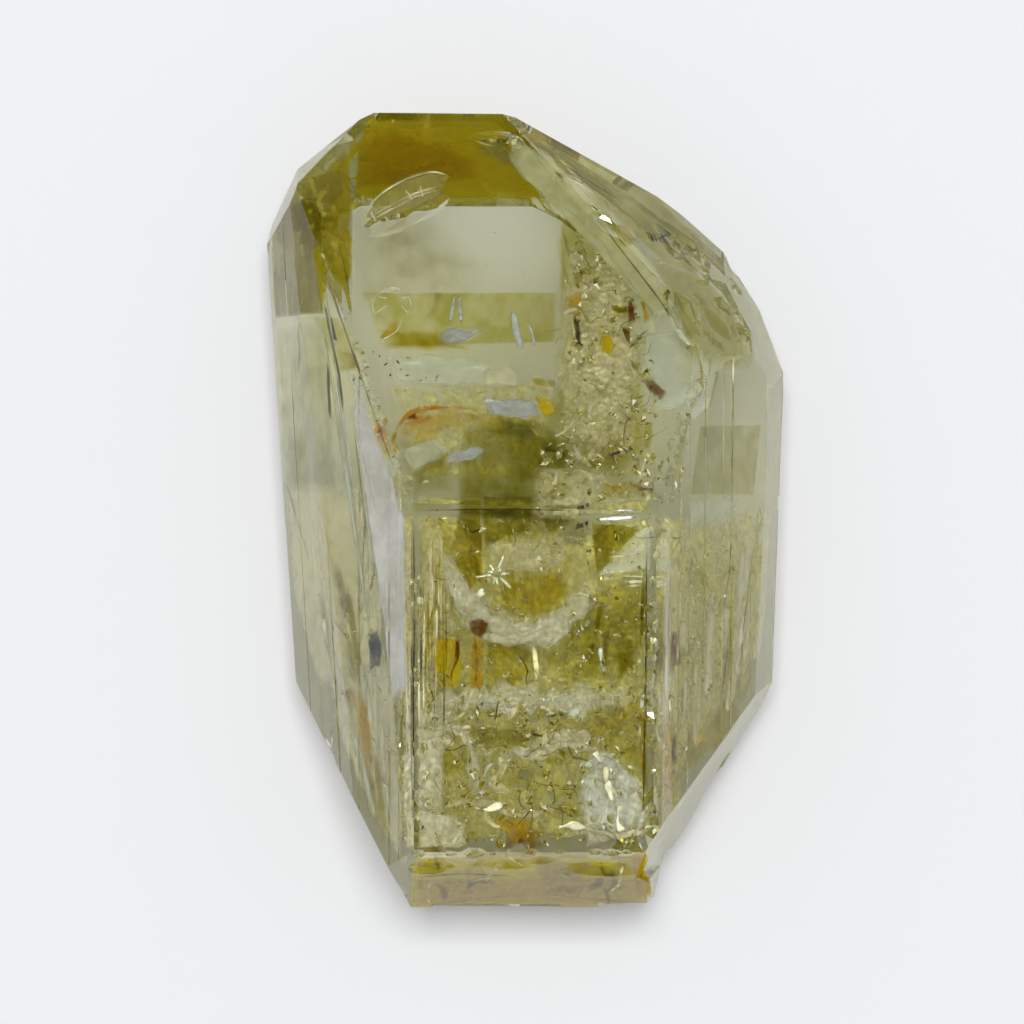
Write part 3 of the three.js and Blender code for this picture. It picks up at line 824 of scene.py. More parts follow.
RUST_PANES = [
    # The smear across the foot of the dome.
    pane("dome", 7, AMBER, [(-10.6, 4.4), (-9.6, 5.8), (-7.4, 6.6), (-4.4, 6.6), (-2, 6), (-4.2, 5.2),
         (-7.4, 4.2), (-9.6, 3.4)],
         soft=0.8, ragged=0.4, strength=0.6),
    pane("dome", 6.8, ORANGE, [(-9.8, 5.4), (-8, 6.4), (-6.6, 6), (-8.8, 4.8)], soft=0.8),
    pane("dome", 6.6, RUST_BROWN, [(-9.4, 6), (-8.4, 6.4), (-8.2, 5.8), (-9.2, 5.6)], soft=0.8),
    pane("dome", 7, PALE_GOLD, [(-5.4, 6.4), (-1.6, 6.2), (-0.8, 5.2), (-2.8, 4.6), (-4.2, 5.2)],
         soft=0.7, ragged=0.3, strength=0.7),
    pane("dome", 7, AMBER, [(-10.8, 3.8), (-10.2, 4.4), (-9.6, 3.4), (-10, 2.4)], soft=0.7),
    # Specks of ochre in the rough right side of the dome.
    pane("dome", 3, DARK_BROWN, [(3.7, 14.4), (4.2, 14.2), (4.4, 11.8), (3.8, 11.8)], soft=0.3),
    pane("dome", 3.2, AMBER, [(3.2, 16), (4.4, 16.4), (4.4, 14), (3.6, 13.8)], soft=0.5, ragged=0.3),
    pane("dome", 3, YELLOW, [(5.8, 12.8), (6.6, 13), (7.2, 12), (6.6, 11.2), (5.8, 11.6)], ragged=0.3),
    pane("dome", 3, YELLOW, [(0.6, 8.4), (1.8, 8), (2.4, 6.8), (1.6, 6.4), (0.8, 7.2)], ragged=0.3),
    pane("dome", 3, RUST_BROWN, [(8.6, 9.6), (9.2, 9.8), (11, 8.4), (10.6, 7.8), (9.6, 8.4)], soft=0.5,
         ragged=0.3),
    pane("dome", 3, RUST_BROWN, [(7.8, 16), (8.4, 16), (8.6, 13.8), (8, 13.6)], soft=0.5),
    pane("dome", 3, AMBER, [(8.8, 15.6), (9.2, 15.8), (9.6, 14), (9.2, 13.6)], soft=0.5),
    pane("dome", 3, RUST_BROWN, [(7.4, 13.6), (8, 13.4), (8.2, 12), (7.6, 12.4)], soft=0.4),
    pane("dome", 1, GOLD, [(6.8, 21.8), (7.4, 22), (8.6, 20.8), (8, 20), (7.4, 20.4)], soft=0.2),
    pane("dome", 4, AMBER, [(-11.4, 12.4), (-10.4, 13.8), (-9.8, 13.8), (-10, 12.8), (-11, 12)], soft=0.5),
    # The yellow plate, the brown stripe with its knob, and the stain over the broken base.
    pane("front", 2.4, YELLOW, [(-7, -9.8), (-5, -9.8), (-4.8, -12), (-5.2, -13.8), (-6.6, -13.8),
         (-6.8, -11.6)], soft=0.1),
    pane("front", 2.2, ORANGE, [(-6.8, -9.8), (-5.6, -9.8), (-5.6, -11), (-6.6, -10.8)], soft=0.9,
         strength=0.6),
    pane("front", 2.1, RUST_BROWN, [(-5.4, -9.8), (-4.9, -9.8), (-5, -11.6), (-5.4, -11.4)], soft=0.5),
    pane("front", 2.4, AMBER, [(-4.2, -9.8), (-3.1, -9.8), (-3.3, -13.8), (-4.2, -13.8)], soft=0.25),
    pane("front", 2.2, RUST_BROWN, [(-4.4, -8.6), (-3.6, -8.3), (-2.8, -8.7), (-3, -9.6), (-3.4, -10),
         (-4.2, -9.5)], soft=0.3),
    pane("front", 6, RUST_BROWN, [(-2, -24.4), (1.2, -24.4), (1.2, -26.2), (-2, -26.2)], soft=0.8,
         ragged=0.8),
    pane("front", 3, AMBER, [(-2.6, -23.6), (0.8, -23.4), (1.4, -25.6), (-1.6, -25.6)], soft=0.7, ragged=0.8),
    pane("front", 3, AMBER, [(-7.6, -7), (-6.8, -6.6), (-6.2, -8), (-7.2, -8.4)], soft=0.8, strength=0.6),
    pane("dome", 1.5, GOLD, [(5, 1.7), (7.6, 2), (9.8, 1.5), (9.8, 0.3), (6, 0.4)], soft=0.8,
         ragged=0.6, strength=0.7),
    pane("dome", 1.3, RUST_BROWN, [(8, 1.6), (9.8, 1.4), (9.8, 0.5), (8.4, 0.8)], soft=0.9, ragged=0.6,
         strength=0.6),
    pane("front", 2, GOLD, [(8.6, -14.8), (9.2, -14.8), (9.3, -22), (8.8, -22)], soft=0.4),
    # Left side.
    pane("left", 1.6, AMBER, [(-13.2, -13.6), (-12, -13), (-11.2, -16.8), (-11, -20.8), (-11.6, -20.6),
         (-12.4, -17.4)],
         soft=0.8, ragged=0.3),
    pane("left", 1.6, GOLD, [(-11.4, -18), (-10.8, -18), (-10, -25), (-10.4, -26)], soft=0.7),
    pane("left", 1.6, DULL_RED, [(-14.6, -14), (-12.8, -13.6), (-12.6, -15), (-13.8, -15.4)], soft=0.9,
         strength=0.8),
    pane("left", 1.4, SLATE, [(-11.6, -9.6), (-10.8, -9.2), (-10.5, -10.8), (-10.7, -12.2),
         (-11.6, -12.6), (-11.5, -11)], soft=0.2),
    pane("left", 1.6, RUST_BROWN, [(-10.2, -10), (-9.5, -9.4), (-9.3, -11.4), (-10, -11.4)], soft=0.9,
         strength=0.7),
    pane("left", 1.6, UMBER_HAZE, [(-14.8, -4.4), (-13.8, -4), (-13.2, -6.6), (-12.4, -7.2),
         (-12.6, -8.6), (-14.6, -7.6)],
         soft=0.8, strength=0.6),
    pane("far left", 2.4, ORANGE, [(-17.4, -1), (-16.4, -1.4), (-16.4, -2.4), (-17.2, -2.4)], soft=0.9,
         strength=0.8),
    # Right side.
    pane("right", 6, RUST_BROWN, [(14.8, -9), (15.6, -10), (15, -14), (14, -15)], soft=0.6, ragged=0.3),
    pane("right", 3, RUST_BROWN, [(10.2, -9.2), (11.2, -9.2), (11, -12), (10.2, -13)], soft=0.5, ragged=0.5),
    pane("right", 2, AMBER, [(9.8, -15.6), (10.6, -15.4), (10.8, -22), (9.8, -22.8)], soft=0.5, ragged=0.3),
    pane("right", 3, RUST_BROWN, [(10, -17.4), (10.8, -17), (10.8, -19.6), (10.2, -20)], soft=0.7,
         ragged=0.3),
    pane("right", 4, GOLD, [(10, -16.2), (12.2, -14.8), (15.6, -14.2), (16, -17), (12.4, -19.4),
         (10, -21.6)], strength=0.7, ragged=0.3),
    pane("right", 3, YELLOW, [(11.6, -17.4), (13, -17), (13.4, -17.8), (11.8, -18.6)], soft=0.5),
]
RUST_LINES = [
    ribbon("dome", 6.5, ORANGE, 0.4, [(-10, 5), (-8.8, 6.3), (-6.6, 6.7), (-3.8, 6.6)], ragged=1.0),
    ribbon("dome", 6.5, AMBER, 0.5, [(-10.8, 3), (-10.2, 4.2), (-9.8, 5.2)], ragged=1.0),
    ribbon("front", 2.3, RUST_BROWN, 0.3, [(-3.9, -9.6), (-3.7, -11.6), (-3.8, -13.4)], ragged=1.2,
           strength=0.7),
    ribbon("front", 2.3, RUST_BROWN, 0.16, [(-5.2, -9.6), (-5.1, -11.2), (-5.6, -12.6), (-5.5, -13.9)],
           ragged=1.0),
]
film_piece("rust_films", rust_stain, RUST_PANES, RUST_LINES)

# %% [markdown]
# ## Milky veils
#
# Where a fracture has healed unevenly it is a sheet of gaps too small to see, and it looks like a
# thin milky veil. Light spreads in it, so it is a pale film with fine grain, fibres along the
# crystal and cloudy patches, made by noise on its cover. A cloudy volume would look alike, but it
# would take far longer to render.

# %% Milk paint
MILK_MIRROR = 0.3
MILK_ROUGHNESS = 0.4
MILK_RELIEF = 0.25 * MM
MILK_RELIEF_SCALE = 2600


def milky(name, layers, relief=0):
    """A pale film that scatters light, some of it as tiny mirrors that tilt with the relief."""
    material, add, link = new_material(name)
    film = add("ShaderNodeBsdfPrincipled")
    film.inputs["Metallic"].default_value = MILK_MIRROR
    film.inputs["Roughness"].default_value = MILK_ROUGHNESS
    film.inputs["IOR"].default_value = 1.0
    if relief:
        bump = add("ShaderNodeBump")
        bump.inputs["Distance"].default_value = relief
        link(noise_on_object(add, link, MILK_RELIEF_SCALE, EVEN, 0), bump.inputs["Height"])
        link(bump.outputs["Normal"], film.inputs["Normal"])
    link(attribute(add, "tint").outputs["Color"], film.inputs["Base Color"])
    link(broken_cover(add, link, layers), film.inputs["Alpha"])
    link(film.outputs[0], add("ShaderNodeOutputMaterial").inputs["Surface"])
    return material


milk = milky("milk", [(420, EVEN, 2, 0.55), (1500, FIBRED, 2, 0.45)], MILK_RELIEF)
calm_milk_and_painted_light = milky("calm_milk_and_painted_light", [(260, EVEN, 3, 0.5)])
streak_milk = milky("streak_milk", [(1500, ALONG, 0, 0.3)])

# %% Veils
WHITE = (0.98, 0.95, 0.66)
BRIGHT_WHITE = (1.0, 0.99, 0.72)
BLUE_WHITE = (0.82, 0.88, 0.94)
GREEN_WHITE = (0.88, 0.94, 0.76)
CREAM = (0.94, 0.89, 0.50)
HAZE = (0.97, 0.92, 0.36)
LEFT_HAZE = (1.0, 0.97, 0.58)
MINT_WHITE = (0.97, 1.0, 0.84)
PAINTED_STRIP_LIGHT = (1.0, 1.0, 0.95)
EDGE_MIST = (0.74, 0.74, 0.38)

VEIL_RIBBONS = [
    ribbon("left", 2.4, BRIGHT_WHITE, 1.6, [(-11.6, -8), (-10.4, -14), (-10, -20), (-9.3, -26)],
           strength=0.8),
    ribbon("left", 3.2, WHITE, 1.6, [(-14, -4), (-13, -9), (-11.6, -15), (-10.4, -21)], strength=0.7),
    # The pale bowl, from the left side of the front face to its right side, and the bands below it.
    ribbon("front", 4.5, BRIGHT_WHITE, 2.5, [(-6.6, -2.6), (-5.4, -5.8), (-3.4, -8.2), (-0.6, -9.4),
           (2.2, -8.9), (4.2, -7), (5.2, -4.8)],
           soft=0.8, ragged=0.6),
    ribbon("front", 3.6, BRIGHT_WHITE, 2.2, [(-5.9, -4.4), (-4.2, -7.4), (-1.4, -9.3), (1.4, -9.5),
           (3.6, -7.9)]),
    ribbon("front", 3.4, BRIGHT_WHITE, 1.0, [(-3.8, -9.6), (-1.6, -10), (0.6, -9.9), (2.6, -9.4)]),
    ribbon("front", 3.2, BRIGHT_WHITE, 1.0, [(-7.4, -14.8), (-3, -15), (2, -14.7), (8.6, -14.5)],
           ragged=0.8, strength=0.6),
    # Wisps in the lower end.
    ribbon("front", 3.4, WHITE, 0.8, [(-7.4, -17.6), (-5.6, -16.8), (-4.3, -17.6), (-3.9, -19),
           (-3.9, -20.8)]),
    ribbon("front", 3.2, CREAM, 0.9, [(-3.2, -18.4), (-1.7, -19.6), (-2.5, -20.9), (-0.9, -21.8)]),
    ribbon("front", 3.6, WHITE, 0.9, [(-1.8, -17.9), (0.8, -18.9), (3, -18), (5.6, -18.6)]),
    ribbon("front", 3.4, CREAM, 0.7, [(-6.4, -22.8), (-3.6, -22.3), (-0.6, -23.4), (2.4, -22.8)]),
    ribbon("front", 3, WHITE, 0.7, [(2.6, -25), (5, -24.4), (7, -24.9), (8.8, -24.5)]),
    ribbon("front", 4, BRIGHT_WHITE, 2.4, [(-7.6, -14.2), (-4, -14.6), (0, -14.4), (4, -14.8),
           (9, -14.2)], soft=0.8, ragged=0.7),
    ribbon("front", 5, WHITE, 1.4, [(-4.6, -17.9), (-2.2, -18.9), (0.6, -18.2), (3.4, -17.3), (5.6, -17.8)]),
    ribbon("front", 4.5, WHITE, 1.1, [(-3.9, -18.2), (-3.9, -20), (-3.5, -22)]),
    ribbon("front", 5, CREAM, 3.0, [(-6.9, -0.4), (-6.8, -8), (-6.8, -15), (-7.0, -19)]),
]
VEIL_PANES = [
    pane("front", 5, CREAM, [(-3.2, -2.6), (3.2, -2), (3.6, -4), (2, -5), (-0.6, -5), (-3, -5.4)],
         soft=0.5, strength=0.85),
    pane("front", 3.2, MINT_WHITE, [(5.2, -17.6), (8.8, -20.4), (9.2, -23), (8, -25), (4.6, -26),
         (3.8, -21.6)]),
    pane("front", 3, WHITE, [(-8.3, -22.8), (-5, -23.4), (-4.2, -25.8), (-8.3, -25.9)], soft=0.25),
    pane("front", 3.6, WHITE, [(-8.3, -14.2), (-6, -14.6), (-6.2, -23.6), (-8.3, -23.8)], soft=0.4,
         strength=0.95),
    pane("front", 5, WHITE, [(-8.2, -14.6), (-5, -15.2), (-5.6, -18), (-8.2, -18.2)], soft=0.4),
    pane("dome", 5, CREAM, [(0.3, 2.4), (6, 2.4), (8.8, -0.6), (0.3, -1)], soft=0.4, strength=0.8),
    pane("dome", 3.6, CREAM, [(3, 21), (7.6, 19), (9, 14), (8.6, 3), (3, 3), (2.2, 10)], soft=0.4,
         strength=0.95),
    # The haze under the whole lower front, under the foot of the dome, and under the right side.
    pane("front", 9, HAZE, [(-8.4, -0.4), (9.6, -0.4), (9.4, -25.6), (-8, -25.6)], strength=0.92,
         soft=0.08, ripple=0.5),
    pane("dome", 10, HAZE, [(-11, 8), (2.4, 8.4), (2.6, 0.4), (-9.2, 0.4)], strength=0.6, soft=0.2,
         ripple=0.5),
    pane("right", 3.4, HAZE, [(10.8, -1), (16, 0), (18.8, 1), (18.4, -9), (15.4, -14), (11.8, -19),
         (9.8, -22)], strength=0.65, soft=0.15, ripple=0.5),
]
# A band's rim is ragged and its sheet ripples, unless its row says otherwise.
LOOSE = {"ragged": 0.4, "ripple": 0.25}
film_piece("white_veils", milk, VEIL_PANES, [{**LOOSE, **row} for row in VEIL_RIBBONS])

# %% Calm veils
SAGE = (0.94, 0.96, 0.70)
CALM_PANES = [
    # The pale haze under the left faces.
    pane("left", 2.2, LEFT_HAZE, [(-16.2, 2), (-12.4, 2), (-10.4, -7), (-8.8, -24), (-9, -26.4),
         (-12, -22), (-14.4, -16), (-15.8, -8)],
         soft=0.12, ripple=0.3, ragged=0.6),
    pane("left", 1.9, BRIGHT_WHITE, [(-13.4, -12), (-9.8, -11), (-8.7, -25), (-9, -27), (-11.8, -22)],
         soft=0.2, strength=0.8),
    pane("far left", 1.6, LEFT_HAZE, [(-18.6, 2.4), (-15.8, 2.4), (-13, -13), (-15.6, -14.4),
         (-17.8, -7)], soft=0.2, strength=0.8, ragged=0.3),
    # The clean strip down the left side of the front face is painted light: a white film brightens it,
    # standing in for the floor's light seen through the stone.
    pane("left", 1.2, PAINTED_STRIP_LIGHT, [(-12.6, 9.5), (-10.2, 3.6), (-8.8, -1), (-8.7, -14), (-9.8, -15),
         (-10.6, -8), (-11.8, 0), (-13, 8)],
         soft=0.1, ragged=0.1),
    # The pale band down the right side of the dome, with a clear plate below it.
    pane("dome", 5, SAGE, [(5.8, 20.6), (8.2, 19.4), (10, 15.8), (10.2, 12.6), (8.6, 12.4), (7.6, 14.6),
         (7.2, 17.6)],
         strength=0.9, soft=0.1, ragged=0.4),
    pane("dome", 5, GREEN_WHITE, [(9.2, 12.6), (12.4, 13), (13.2, 11), (12.6, 7.6), (11.2, 6.8),
         (9.8, 6.8), (9.2, 9.4)],
         strength=0.8, soft=0.08, ragged=0.15),
    pane("dome", 2.2, EDGE_MIST,
         [(-0.8, 29), (1.4, 27.4), (5.6, 22.9), (9.4, 18.6), (11.6, 14.8), (10.4, 14), (7.8, 17),
         (3.6, 21.6), (-0.2, 25.4), (-1.6, 27.4)],
         strength=0.85, soft=0.15),
    pane("shoulder", 3.4, GREEN_WHITE, [(2.4, 27.4), (5.4, 24.6), (8.6, 20.6), (12.4, 18.4),
         (10.2, 21.4), (6.2, 25)],
         strength=0.5, soft=0.5),
    # Level strips in the lower half of the dome.
    pane("dome", 9, GREEN_WHITE, [(-11, 10.4), (-4.6, 10.4), (-2, 9.4), (-5, 8), (-10.4, 8.4)],
         strength=0.6, soft=0.2, ragged=0.3),
    pane("dome", 8, WHITE, [(-3.2, 9.4), (-1.4, 9.8), (-0.4, 9.2), (-0.6, 8.2), (-3.2, 8.2)],
         strength=0.8, soft=0.2),
    pane("dome", 8, WHITE, [(0.4, 9), (1.4, 9), (2.4, 7.8), (0.6, 8)], strength=0.7, soft=0.2),
    pane("dome", 6, GREEN_WHITE, [(-9.8, 3.6), (-6.4, 4.4), (-5.4, 3.4), (-8.8, 1.6)], strength=0.6,
         soft=0.4, ragged=0.3),
    # Small plates under the front face, the base and the right side.
    pane("front", 5, GREEN_WHITE, [(5.4, -5.2), (8.6, -1.7), (9.6, -1.2), (9.6, -4.8)], strength=0.3,
         soft=0.12),
    pane("base", 0.9, GREEN_WHITE, [(3.6, -30.2), (4.8, -28.8), (6.2, -29.2), (7.8, -30.2)], soft=0.06,
         ragged=0.05),
    pane("right", 4, GREEN_WHITE, [(11.4, 0.8), (16, 1.2), (15.4, -3), (12, -3.6), (10.8, -1.6)],
         strength=0.5, soft=0.3),
]
film_piece("calm_veils", calm_milk_and_painted_light, CALM_PANES)

# %% [markdown]
# ## Flashes
#
# A flat, unbroken crack that happens to face the sky is a clean pale mirror. The dome shows a small
# ellipse, a pointed lens, a level strip and some spikes, and the front face a small pale star. A
# film of air would flash at a single angle only, so these are rather rough mirrors, which shine
# towards most sides.

# %% Flash paint
FLASH_ROUGHNESS = 0.34
FLASH_LAYERS = [(700, EVEN, 3, 0.35)]


def flash(name):
    """A smooth pale mirror inside the stone."""
    material, add, link = new_material(name)
    film = add("ShaderNodeBsdfPrincipled")
    film.inputs["Metallic"].default_value = 1
    film.inputs["Roughness"].default_value = FLASH_ROUGHNESS
    link(attribute(add, "tint").outputs["Color"], film.inputs["Base Color"])
    link(broken_cover(add, link, FLASH_LAYERS), film.inputs["Alpha"])
    link(film.outputs[0], add("ShaderNodeOutputMaterial").inputs["Surface"])
    return material


pale_flash = flash("pale_flash")

# %% Flashes in the stone
# The slope that turns a flash under the dome to the sky.
TO_SKY = {"tilt": (0, -0.12)}
FLASH_PANES = [
    pane("dome", 6, BLUE_WHITE, [(-7.2, 12.6), (-6.4, 13.2), (-3.6, 13), (-2.6, 12.9), (-4.2, 12),
         (-5.4, 11.5), (-6.6, 11.6)], soft=0.7, ragged=0.3),
    pane("dome", 6, BLUE_WHITE, [(-6, 3.4), (-4.2, 3.8), (-2.8, 3.5), (-4, 2.8), (-6.4, 2.4)], soft=0.4,
         ragged=0.35),
    pane("dome", 6, BLUE_WHITE, [(-3.6, 7.3), (-3.2, 7.6), (1, 7.2), (1.4, 6.2), (0.2, 5.8),
         (-2.6, 6.2)], strength=0.8, soft=0.3, ragged=0.35),
]
FLASH_RIBBONS = [
    ribbon("dome", 7, BLUE_WHITE, 0.35, [(-5.5, 15.5), (-5.9, 13.2)]),
    ribbon("dome", 7, BLUE_WHITE, 0.35, [(-5.2, 15.5), (-5, 13.2)]),
    ribbon("dome", 6, BLUE_WHITE, 0.6, [(-1, 14.4), (-0.7, 12.6), (-0.2, 11.2)]),
    ribbon("dome", 6, BLUE_WHITE, 0.25, [(0.2, 13.4), (0.5, 12.6), (0.7, 11.6)]),
    ribbon("dome", 1.2, BRIGHT_WHITE, 0.22, [(-5.8, 25.7), (-7.4, 26), (-9.6, 25.3), (-11.6, 23.9),
           (-12.6, 22.3)], strength=0.8),
    ribbon("dome", 1.2, WHITE, 0.25, [(-6.6, 24.9), (-8.6, 24.3), (-10.6, 23.2), (-12, 22.4)], strength=0.7),
    ribbon("dome", 1.2, WHITE, 0.2, [(-9.4, 24.6), (-8.8, 24)]),
    ribbon("dome", 1.2, WHITE, 0.2, [(-8.2, 25), (-8, 24.2)]),
    ribbon("dome", 1.2, WHITE, 0.25, [(-12, 22.9), (-11.8, 22.2)]),
    ribbon("dome", 4, WHITE, 0.2, [(-11.3, 12.2), (-10, 13), (-9.5, 14)]),
    ribbon("front", 6, BLUE_WHITE, 0.5, [(5.7, -10.4), (6.0, -12.8)]),
    ribbon("front", 6, CREAM, 0.5, [(0.6, -10.3), (0.8, -11.8), (0.9, -13.3)], strength=0.7),
    ribbon("front", 3, BLUE_WHITE, 0.35, [(5.2, -0.9), (8.6, -0.7)]),
    ribbon("front", 4, GREEN_WHITE, 0.7, [(-3.1, -6.1), (-3.7, -6.8)], strength=0.35),
    ribbon("right", 4, BLUE_WHITE, 0.5, [(13.2, -6.4), (13.1, -10)]),
    ribbon("front", 6, BLUE_WHITE, 0.7, [(-2.4, -15.4), (1, -15.6)], strength=0.5),
    ribbon("front", 2.4, BRIGHT_WHITE, 0.5, [(6.6, -19.6), (6.3, -21), (6.6, -22.4)], ragged=1.2),
    ribbon("front", 2.4, BRIGHT_WHITE, 0.4, [(5.2, -18.4), (5.8, -19.4)], ragged=1.2),
    ribbon("front", 2.4, BRIGHT_WHITE, 0.5, [(7.2, -22.4), (7.0, -23.8), (7.4, -24.6)], ragged=1.2),
    ribbon("front", 2.4, BRIGHT_WHITE, 0.5, [(2.4, -24.3), (3.4, -24.1), (4.8, -24.3)], ragged=1.2),
    ribbon("front", 2.4, BRIGHT_WHITE, 0.35, [(-4.4, -22.6), (-3, -22.9), (-1.6, -22.4)], ragged=1.2,
           strength=0.7),
]

# %% Star
STAR = (-2.2, -5.0)
STAR_RAYS = 9
STAR_HUB = 0.2
STAR_REACH = 1.15
# The rays aren't even: waves of these sizes change their lengths and turn them a little.
REACH_CHANGE, REACH_WAVE = 0.6, 4.1
TURN_CHANGE, TURN_WAVE = 0.2, 2.3

for ray in range(STAR_RAYS):
    angle = math.tau * ray / STAR_RAYS + TURN_CHANGE * math.sin(ray * TURN_WAVE)
    reach = STAR_REACH + REACH_CHANGE * math.sin(ray * REACH_WAVE)
    tip = (STAR[0] + reach * math.cos(angle), STAR[1] + reach * math.sin(angle))
    start = (STAR[0] + STAR_HUB * math.cos(angle), STAR[1] + STAR_HUB * math.sin(angle))
    FLASH_RIBBONS.append(ribbon("front", 3, GREEN_WHITE, 0.24, [start, tip], strength=0.45))
print("the star has", STAR_RAYS, "rays")

# %% Feather
# A round crack at the left of the dome, open at its foot, with veins like a feather's.
FEATHER = Vector((-10.3, 15.4))
FEATHER_REACH = 1.35
FEATHER_WIDE = 1.1
FEATHER_STEPS = 12
FEATHER_START, FEATHER_END = -2, 8
FEATHER_VEINS = 5
VEIN_STOPS = 0.35
VEIN_LEAN = Vector((0.2, 0.3))


def feather_point(step):
    """A point on the feather's rim."""
    turn = step * math.tau / FEATHER_STEPS
    return FEATHER + FEATHER_REACH * Vector((FEATHER_WIDE * math.cos(turn), math.sin(turn)))


feather_rim = [feather_point(step) for step in range(FEATHER_START, FEATHER_END + 1)]
FLASH_RIBBONS.append(ribbon("dome", 1.5, BRIGHT_WHITE, 0.2, feather_rim, ragged=0.8))
for vein in range(FEATHER_VEINS):
    start = feather_rim[2 * vein + 1]
    tip = FEATHER + (start - FEATHER) * VEIN_STOPS + VEIN_LEAN
    FLASH_RIBBONS.append(ribbon("dome", 1.5, BRIGHT_WHITE, 0.16, [start, tip], ragged=0.6))
film_piece("pale_flashes", pale_flash, [{**TO_SKY, **row} for row in FLASH_PANES], FLASH_RIBBONS)

# %% [markdown]
# ## Growth lines and hairline cracks
#
# The sides look combed, because topaz grows in fine ribs along its length and its cracks follow
# them. Over two hundred short streaks, some milky and some olive, run down four-cornered fields or
# wander about in them, and about a hundred thin dark hairlines lie between them. A seeded chance
# picks each one's place, depth, colour and length. Stretched noise would comb the sides as well, but
# it can't give a line its ends and its depth.

# %% Fields of streaks
LATEST_START = 0.75
STREAK_PART = (0.12, 0.5)
STREAK_SWAY = 0.02
WANDER_STEPS = (2, 4)
WANDER_STEP = (0.3, 0.9)
WANDER_TURN = 0.9
STREAK_STRENGTH = (0.5, 1)
STREAK_STEPS = 4


def down_the_field(field, chance):
    """A path that runs down a field, from its first edge to the opposite one."""
    first, second, third, fourth = (Vector(corner) for corner in field)
    across = chance.random()
    start = chance.uniform(0, LATEST_START)
    end = min(1.0, start + chance.uniform(*STREAK_PART))
    path = []
    for part in (start, (start + end) / 2, end):
        place = min(1.0, max(0.0, across + chance.uniform(-STREAK_SWAY, STREAK_SWAY)))
        path.append(first.lerp(second, place).lerp(fourth.lerp(third, place), part))
    return path


def about_the_field(field, chance):
    """A short path that wanders about in a field."""
    first, second, third, fourth = (Vector(corner) for corner in field)
    across, down = chance.random(), chance.random()
    spot = first.lerp(second, across).lerp(fourth.lerp(third, across), down)
    heading = chance.uniform(0, math.tau)
    path = [spot]
    for _ in range(chance.randint(*WANDER_STEPS)):
        heading += chance.uniform(-WANDER_TURN, WANDER_TURN)
        spot = spot + Vector((math.cos(heading), math.sin(heading))) * chance.uniform(*WANDER_STEP)
        path.append(spot)
    return path


def streaks(face, depths, tints, widths, field, count, seed, walk=down_the_field):
    """Rows for many ribbons in a field, each with a depth, a tint and a width of its own."""
    chance = random.Random(seed)
    return [
        ribbon(
            face, chance.uniform(*depths), chance.choice(tints), chance.uniform(*widths),
            walk(field, chance), strength=chance.uniform(*STREAK_STRENGTH), steps=STREAK_STEPS,
        )
        for _ in range(count)
    ]


LEFT_FIELD = [(-16.6, -5), (-11, -5), (-9.4, -26), (-11.2, -24)]
LEFT_EDGE_FIELD = [(-15.6, 18), (-13.8, 17), (-8.6, -24), (-9.4, -24)]
RIGHT_FIELD = [(9.8, -2), (18.8, 1), (16.4, -14), (9.6, -22)]
DOME_FIELD = [(3.4, 22), (8.6, 17), (9.4, 1.4), (1.6, 1.4)]
FRONT_LEFT_FIELD = [(-8.2, -0.8), (-6, -0.8), (-6, -17), (-8.2, -17)]
FRONT_LOW_FIELD = [(-7.8, -15), (-7.8, -25), (9, -25), (9, -15)]
FRONT_FIELD = [(-8, -0.6), (9, -0.6), (9, -25.4), (-8, -25.4)]
BLOCK_FIELD = [(4.2, -6.6), (9.2, -5.4), (8.8, -13.2), (2.4, -13.2)]
RIGHT_BAND_FIELD = [(5.6, -2.2), (5.6, -6.6), (9.6, -6.6), (9.6, -1.8)]
BOWL_FIELD = [(-5.6, -0.6), (4.6, -0.6), (3, -9), (-3, -9)]
BASE_FIELD = [(-8.6, -26.6), (-8.6, -30), (9, -30), (9, -26.6)]

# %% Streaks
MILK_STREAKS = (
    streaks("left", (1.2, 2.1), (BRIGHT_WHITE, GREEN_WHITE, WHITE), (0.3, 1.1), LEFT_FIELD, 18, 11)
    + streaks("left", (1.5, 3), (WHITE, GREEN_WHITE), (0.12, 0.4), LEFT_EDGE_FIELD, 12, 12)
    + streaks("right", (2, 4), (BRIGHT_WHITE, WHITE, CREAM), (0.25, 0.8), RIGHT_FIELD, 30, 13)
    + streaks("dome", (2, 7), (WHITE, CREAM), (0.15, 0.6), DOME_FIELD, 20, 14, about_the_field)
    + streaks("front", (2, 6), (WHITE, CREAM), (0.1, 0.3), FRONT_LEFT_FIELD, 18, 15)
    + streaks("front", (2.5, 6), (WHITE, CREAM, GREEN_WHITE), (0.3, 0.8), FRONT_LOW_FIELD, 28, 16,
              about_the_field)
    + streaks("front", (4, 6), (WHITE, GREEN_WHITE), (0.12, 0.35), RIGHT_BAND_FIELD, 6, 17)
    + streaks("base", (0.3, 0.5), (HAZE,), (0.2, 0.5), BASE_FIELD, 6, 18, about_the_field)
)
